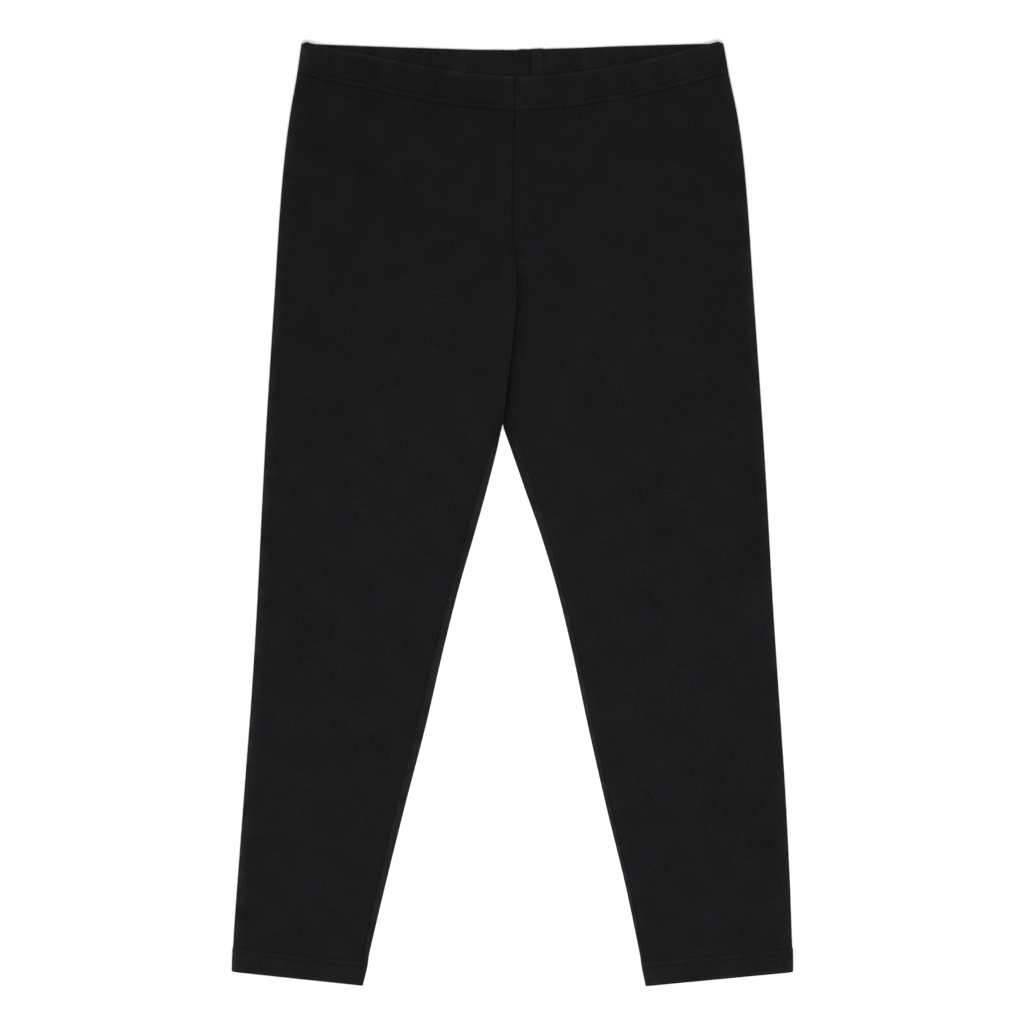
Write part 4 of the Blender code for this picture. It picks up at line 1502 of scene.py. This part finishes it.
def knitted():
    """Height of plain knitting: upright wales, each a column of V-shaped loops."""
    inputs = (
        ("Across", "NodeSocketFloat"), ("Along", "NodeSocketFloat"),
        ("Wale", "NodeSocketFloat"), ("Course", "NodeSocketFloat"),
    )
    group, entry, result = new_group("Knitted", inputs, ("Height",))
    column = math_node(group, "DIVIDE", entry.outputs["Across"], entry.outputs["Wale"])
    row = math_node(group, "DIVIDE", entry.outputs["Along"], entry.outputs["Course"])
    aside = math_node(group, "SUBTRACT", math_node(group, "FRACT", column, 0), 0.5)
    slant = math_node(group, "ABSOLUTE", aside, 0)
    ridge = math_node(group, "SINE", math_node(group, "MULTIPLY", slant, math.tau), 0)
    tilted = math_node(group, "ADD", row, math_node(group, "MULTIPLY", slant, LOOP_SLANT))
    loops = math_node(group, "SINE", math_node(group, "MULTIPLY", tilted, math.tau), 0)
    swing = math_node(group, "MULTIPLY", loops, LOOP_DEPTH)
    lifted = math_node(group, "ADD", swing, 1 - LOOP_DEPTH)
    group.links.new(math_node(group, "MULTIPLY", ridge, lifted), result.inputs["Height"])
    return group


def new_material(name, surface):
    material = bpy.data.materials.new(name)
    material.use_nodes = True
    tree = material.node_tree
    shader = tree.nodes["Principled BSDF"]
    for socket, value in surface.items():
        shader.inputs[socket].default_value = value
    return material, tree, shader


def scaled_colour(tree, colour, factor):
    """A fixed colour times a value that changes over the surface."""
    mix = add_node(tree, "ShaderNodeVectorMath", {1: factor}, operation="MULTIPLY")
    mix.inputs[0].default_value = colour[:3]
    return mix.outputs[0]


def attribute(tree, name):
    return add_node(tree, "ShaderNodeAttribute", attribute_name=name).outputs["Fac"]


def patches(tree, label, size, contrast, detail=1.0):
    """The Patchy group's node on the object's own coordinates."""
    node = add_node(tree, "ShaderNodeGroup", node_tree=patchy(), label=label)
    place = add_node(tree, "ShaderNodeTexCoord")
    tree.links.new(place.outputs["Object"], node.inputs["Vector"])
    for name, value in (("Size", size), ("Contrast", contrast), ("Detail", detail)):
        node.inputs[name].default_value = value
    return node


def brushed_jersey():
    """Black cotton jersey with a short brushed nap: mottled and grained, with painted highlights on the
    folds and painted shade in the seams and creases."""
    cloth = settings("cloth")
    material, tree, shader = new_material("brushed_jersey", JERSEY_SURFACE)
    mottle = patches(tree, "Mottle", cloth.mottle_size, cloth.mottle_contrast, MOTTLE_DETAIL)
    grain = patches(tree, "Nap", cloth.grain_size, cloth.grain_contrast)
    light_paint = patches(tree, "Wear", cloth.wear_size, cloth.highlight_patch_contrast)
    knit = add_node(tree, "ShaderNodeGroup", node_tree=knitted(), label="Jersey")
    for name, socket in (("cloth_u", "Across"), ("cloth_v", "Along")):
        place = math_node(tree, "MULTIPLY", attribute(tree, name), METRES)
        tree.links.new(place, knit.inputs[socket])
    knit.inputs["Wale"].default_value = cloth.wale
    knit.inputs["Course"].default_value = cloth.course
    # painted highlights on the folds, patchy along them, and painted shade in seams and creases, from
    # the cloth's attributes
    rubbed = math_node(tree, "MULTIPLY", attribute(tree, "rubbed"), cloth.rubbed_gain)
    patchy_highlight = math_node(tree, "MAXIMUM", light_paint.outputs["Lightness"], HIGHLIGHT_LEAST)
    rubbed = math_node(tree, "MULTIPLY", rubbed, patchy_highlight)
    shaded = math_node(tree, "MULTIPLY", attribute(tree, "shade"), cloth.shade_gain)
    shaded = math_node(tree, "MINIMUM", shaded, SHADE_MOST)
    tufts = math_node(tree, "MAXIMUM", grain.outputs["Lightness"], TUFT_LEAST)
    light = math_node(tree, "MULTIPLY", mottle.outputs["Lightness"], tufts)
    light = math_node(tree, "MULTIPLY", light, math_node(tree, "ADD", rubbed, 1.0))
    light = math_node(tree, "MULTIPLY", light, math_node(tree, "SUBTRACT", 1.0, shaded))
    warm = patches(tree, "Dye", DYE_SIZE, cloth.dye_contrast, DYE_DETAIL).outputs["Lightness"]
    cool = math_node(tree, "SUBTRACT", 2.0, warm)
    tint = add_node(tree, "ShaderNodeCombineXYZ", {"X": warm, "Z": cool}, {"Y": 1.0})
    colour = scaled_colour(tree, cloth.colour, light)
    dyed = add_node(tree, "ShaderNodeVectorMath", {0: colour, 1: tint.outputs[0]}, operation="MULTIPLY")
    tree.links.new(dyed.outputs[0], shader.inputs["Base Color"])
    loops = math_node(tree, "MULTIPLY", knit.outputs["Height"], KNIT_HEIGHT)
    height = math_node(tree, "ADD", loops, grain.outputs["Height"])
    bump = add_node(tree, "ShaderNodeBump", {"Height": height}, NAP_BUMP)
    tree.links.new(bump.outputs["Normal"], shader.inputs["Normal"])
    return material


def sewing_thread():
    """Black polyester sewing thread, with its twist."""
    seams = settings("seams")
    material, tree, shader = new_material("sewing_thread", THREAD_SURFACE)
    twist = patches(tree, "Twist", TWIST_SIZE, TWIST_CONTRAST)
    colour = scaled_colour(tree, seams.thread_colour, twist.outputs["Lightness"])
    tree.links.new(colour, shader.inputs["Base Color"])
    bump = add_node(tree, "ShaderNodeBump", {"Height": twist.outputs["Height"]}, TWIST_BUMP)
    tree.links.new(bump.outputs["Normal"], shader.inputs["Normal"])
    return material


def nap_fibre():
    """A loose cotton fibre, lighter than the cloth because light comes through it."""
    nap = settings("nap")
    material, tree, shader = new_material("nap_fibre", FIBRE_SURFACE)
    tone = patches(tree, "Tone", FIBRE_TONE_SIZE, FIBRE_TONE_CONTRAST)
    colour = scaled_colour(tree, nap.colour, tone.outputs["Lightness"])
    tree.links.new(colour, shader.inputs["Base Color"])
    return material


# ---------------------------------------------------------------------------------------- stage

FLOOR_SIZE = 8.0
FLOOR_Z = -0.0002
VIEW_X, VIEW_Y = -0.0005, 0.0016  # the camera stands over this point of the garment
OVERHEAD_PLACE, OVERHEAD_SIZE = (0.07, -0.35, 1.16), 0.8
WINDOW_PLACE, WINDOW_SIZE = (-1.4, 5.0, 2.6), 1.6


def area_light(name, place, size, power):
    """A square light that faces the garment."""
    data = bpy.data.lights.new(name, "AREA")
    data.size = size
    data.energy = power
    light = bpy.data.objects.new(name, data)
    light.location = place
    light.rotation_euler = (-light.location).to_track_quat("-Z", "Y").to_euler()
    light.visible_camera = False
    bpy.context.scene.collection.objects.link(light)
    return light


def set_stage():
    """A pale floor, soft light from all round and the camera straight above the garment."""
    stage = settings("stage")
    mesh = bpy.data.meshes.new("floor")
    half = FLOOR_SIZE / 2
    corners = ((-half, -half), (half, -half), (half, half), (-half, half))
    mesh.from_pydata([(x, y, FLOOR_Z) for x, y in corners], [], [(0, 1, 2, 3)])
    floor = bpy.data.objects.new("floor", mesh)
    bpy.context.scene.collection.objects.link(floor)
    material, _, shader = new_material("floor", FLOOR_SURFACE)
    shader.inputs["Base Color"].default_value = stage.floor_colour
    mesh.materials.append(material)

    world = bpy.data.worlds.new("soft_light")
    world.use_nodes = True
    sky = world.node_tree.nodes["Background"]
    sky.inputs["Color"].default_value = (1, 1, 1, 1)
    sky.inputs["Strength"].default_value = stage.sky
    bpy.context.scene.world = world
    bpy.context.scene.view_settings.view_transform = "Standard"
    area_light("overhead_light", OVERHEAD_PLACE, OVERHEAD_SIZE, stage.overhead_power)
    area_light("window_light", WINDOW_PLACE, WINDOW_SIZE, stage.window_power)

    data = bpy.data.cameras.new("camera")
    data.lens = stage.lens
    camera = bpy.data.objects.new("camera", data)
    camera.location = (VIEW_X, VIEW_Y, stage.camera_height)
    bpy.context.scene.collection.objects.link(camera)
    bpy.context.scene.camera = camera


# ------------------------------------------------------------------------------------ operators


class LEGGINGS_OT_leg_panels(bpy.types.Operator):
    """Make the two leg panels"""

    bl_idname = "leggings.leg_panels"
    bl_label = "Leg Panels"

    def execute(self, context):
        for side in SIDES:
            leg_panel(side)
        return {"FINISHED"}


class LEGGINGS_OT_waist_casing(bpy.types.Operator):
    """Make the two halves of the elasticated waist casing"""

    bl_idname = "leggings.waist_casing"
    bl_label = "Waist Casing"

    def execute(self, context):
        for side in SIDES:
            waist_casing(side)
        return {"FINISHED"}


class LEGGINGS_OT_hems(bpy.types.Operator):
    """Make the two turned hems"""

    bl_idname = "leggings.hems"
    bl_label = "Hems"

    def execute(self, context):
        for side in SIDES:
            hem(side)
        return {"FINISHED"}


class LEGGINGS_OT_needle_rows(bpy.types.Operator):
    """Sew the twin needle rows of the casing and the hems"""

    bl_idname = "leggings.needle_rows"
    bl_label = "Needle Rows"

    def execute(self, context):
        cloth = settings("cloth")
        row_gap = in_mm(settings("seams").row_gap)
        casing_wall, hem_wall = in_mm(cloth.casing_wall), in_mm(cloth.hem_wall)
        casing_first, hem_first = min(casing_levels()), max(hem_levels(SIDES[0]))
        stitches("casing_stitches", [
            row_path(side, level, casing_wall, CASING_PLAN, casing_first)
            for side in SIDES for level in (CASING_SEAM, CASING_SEAM + row_gap)
        ])
        stitches("hem_stitches", [
            row_path(side, level, hem_wall, HEM_PLAN, hem_first)
            for side in SIDES for level in (HEM_SEAM, HEM_SEAM - row_gap)
        ])
        return {"FINISHED"}


class LEGGINGS_OT_loose_fibres(bpy.types.Operator):
    """Scatter the loose fibres of the nap"""

    bl_idname = "leggings.loose_fibres"
    bl_label = "Loose Fibres"

    def execute(self, context):
        loose_fibres()
        return {"FINISHED"}


class LEGGINGS_OT_stage(bpy.types.Operator):
    """Set the floor, the light and the camera"""

    bl_idname = "leggings.stage"
    bl_label = "Stage"

    def execute(self, context):
        set_stage()
        return {"FINISHED"}


OPERATORS = (
    LEGGINGS_OT_leg_panels,
    LEGGINGS_OT_waist_casing,
    LEGGINGS_OT_hems,
    LEGGINGS_OT_needle_rows,
    LEGGINGS_OT_loose_fibres,
    LEGGINGS_OT_stage,
)


class LEGGINGS_PT_garment(bpy.types.Panel):
    """Steps and sizes of the leggings"""

    bl_idname = "LEGGINGS_PT_garment"
    bl_label = "Leggings"
    bl_space_type = "VIEW_3D"
    bl_region_type = "UI"
    bl_category = "Leggings"

    def draw(self, context):
        for operator in OPERATORS:
            self.layout.operator(operator.bl_idname)
        for name in SETTINGS:
            group = getattr(context.scene, name)
            box = self.layout.box()
            for key in group.bl_rna.properties.keys():
                if key not in ("rna_type", "name"):
                    box.prop(group, key)


CLASSES = (*SETTINGS.values(), *OPERATORS, LEGGINGS_PT_garment)


def register():
    for item in CLASSES:
        bpy.utils.register_class(item)
    for name, group in SETTINGS.items():
        setattr(bpy.types.Scene, name, bpy.props.PointerProperty(type=group))


def unregister():
    for name in SETTINGS:
        delattr(bpy.types.Scene, name)
    for item in reversed(CLASSES):
        bpy.utils.unregister_class(item)


def main():
    register()
    bpy.ops.leggings.leg_panels()
    bpy.ops.leggings.waist_casing()
    bpy.ops.leggings.hems()
    bpy.ops.leggings.needle_rows()
    bpy.ops.leggings.loose_fibres()
    bpy.ops.leggings.stage()


if __name__ == "__main__":
    main()
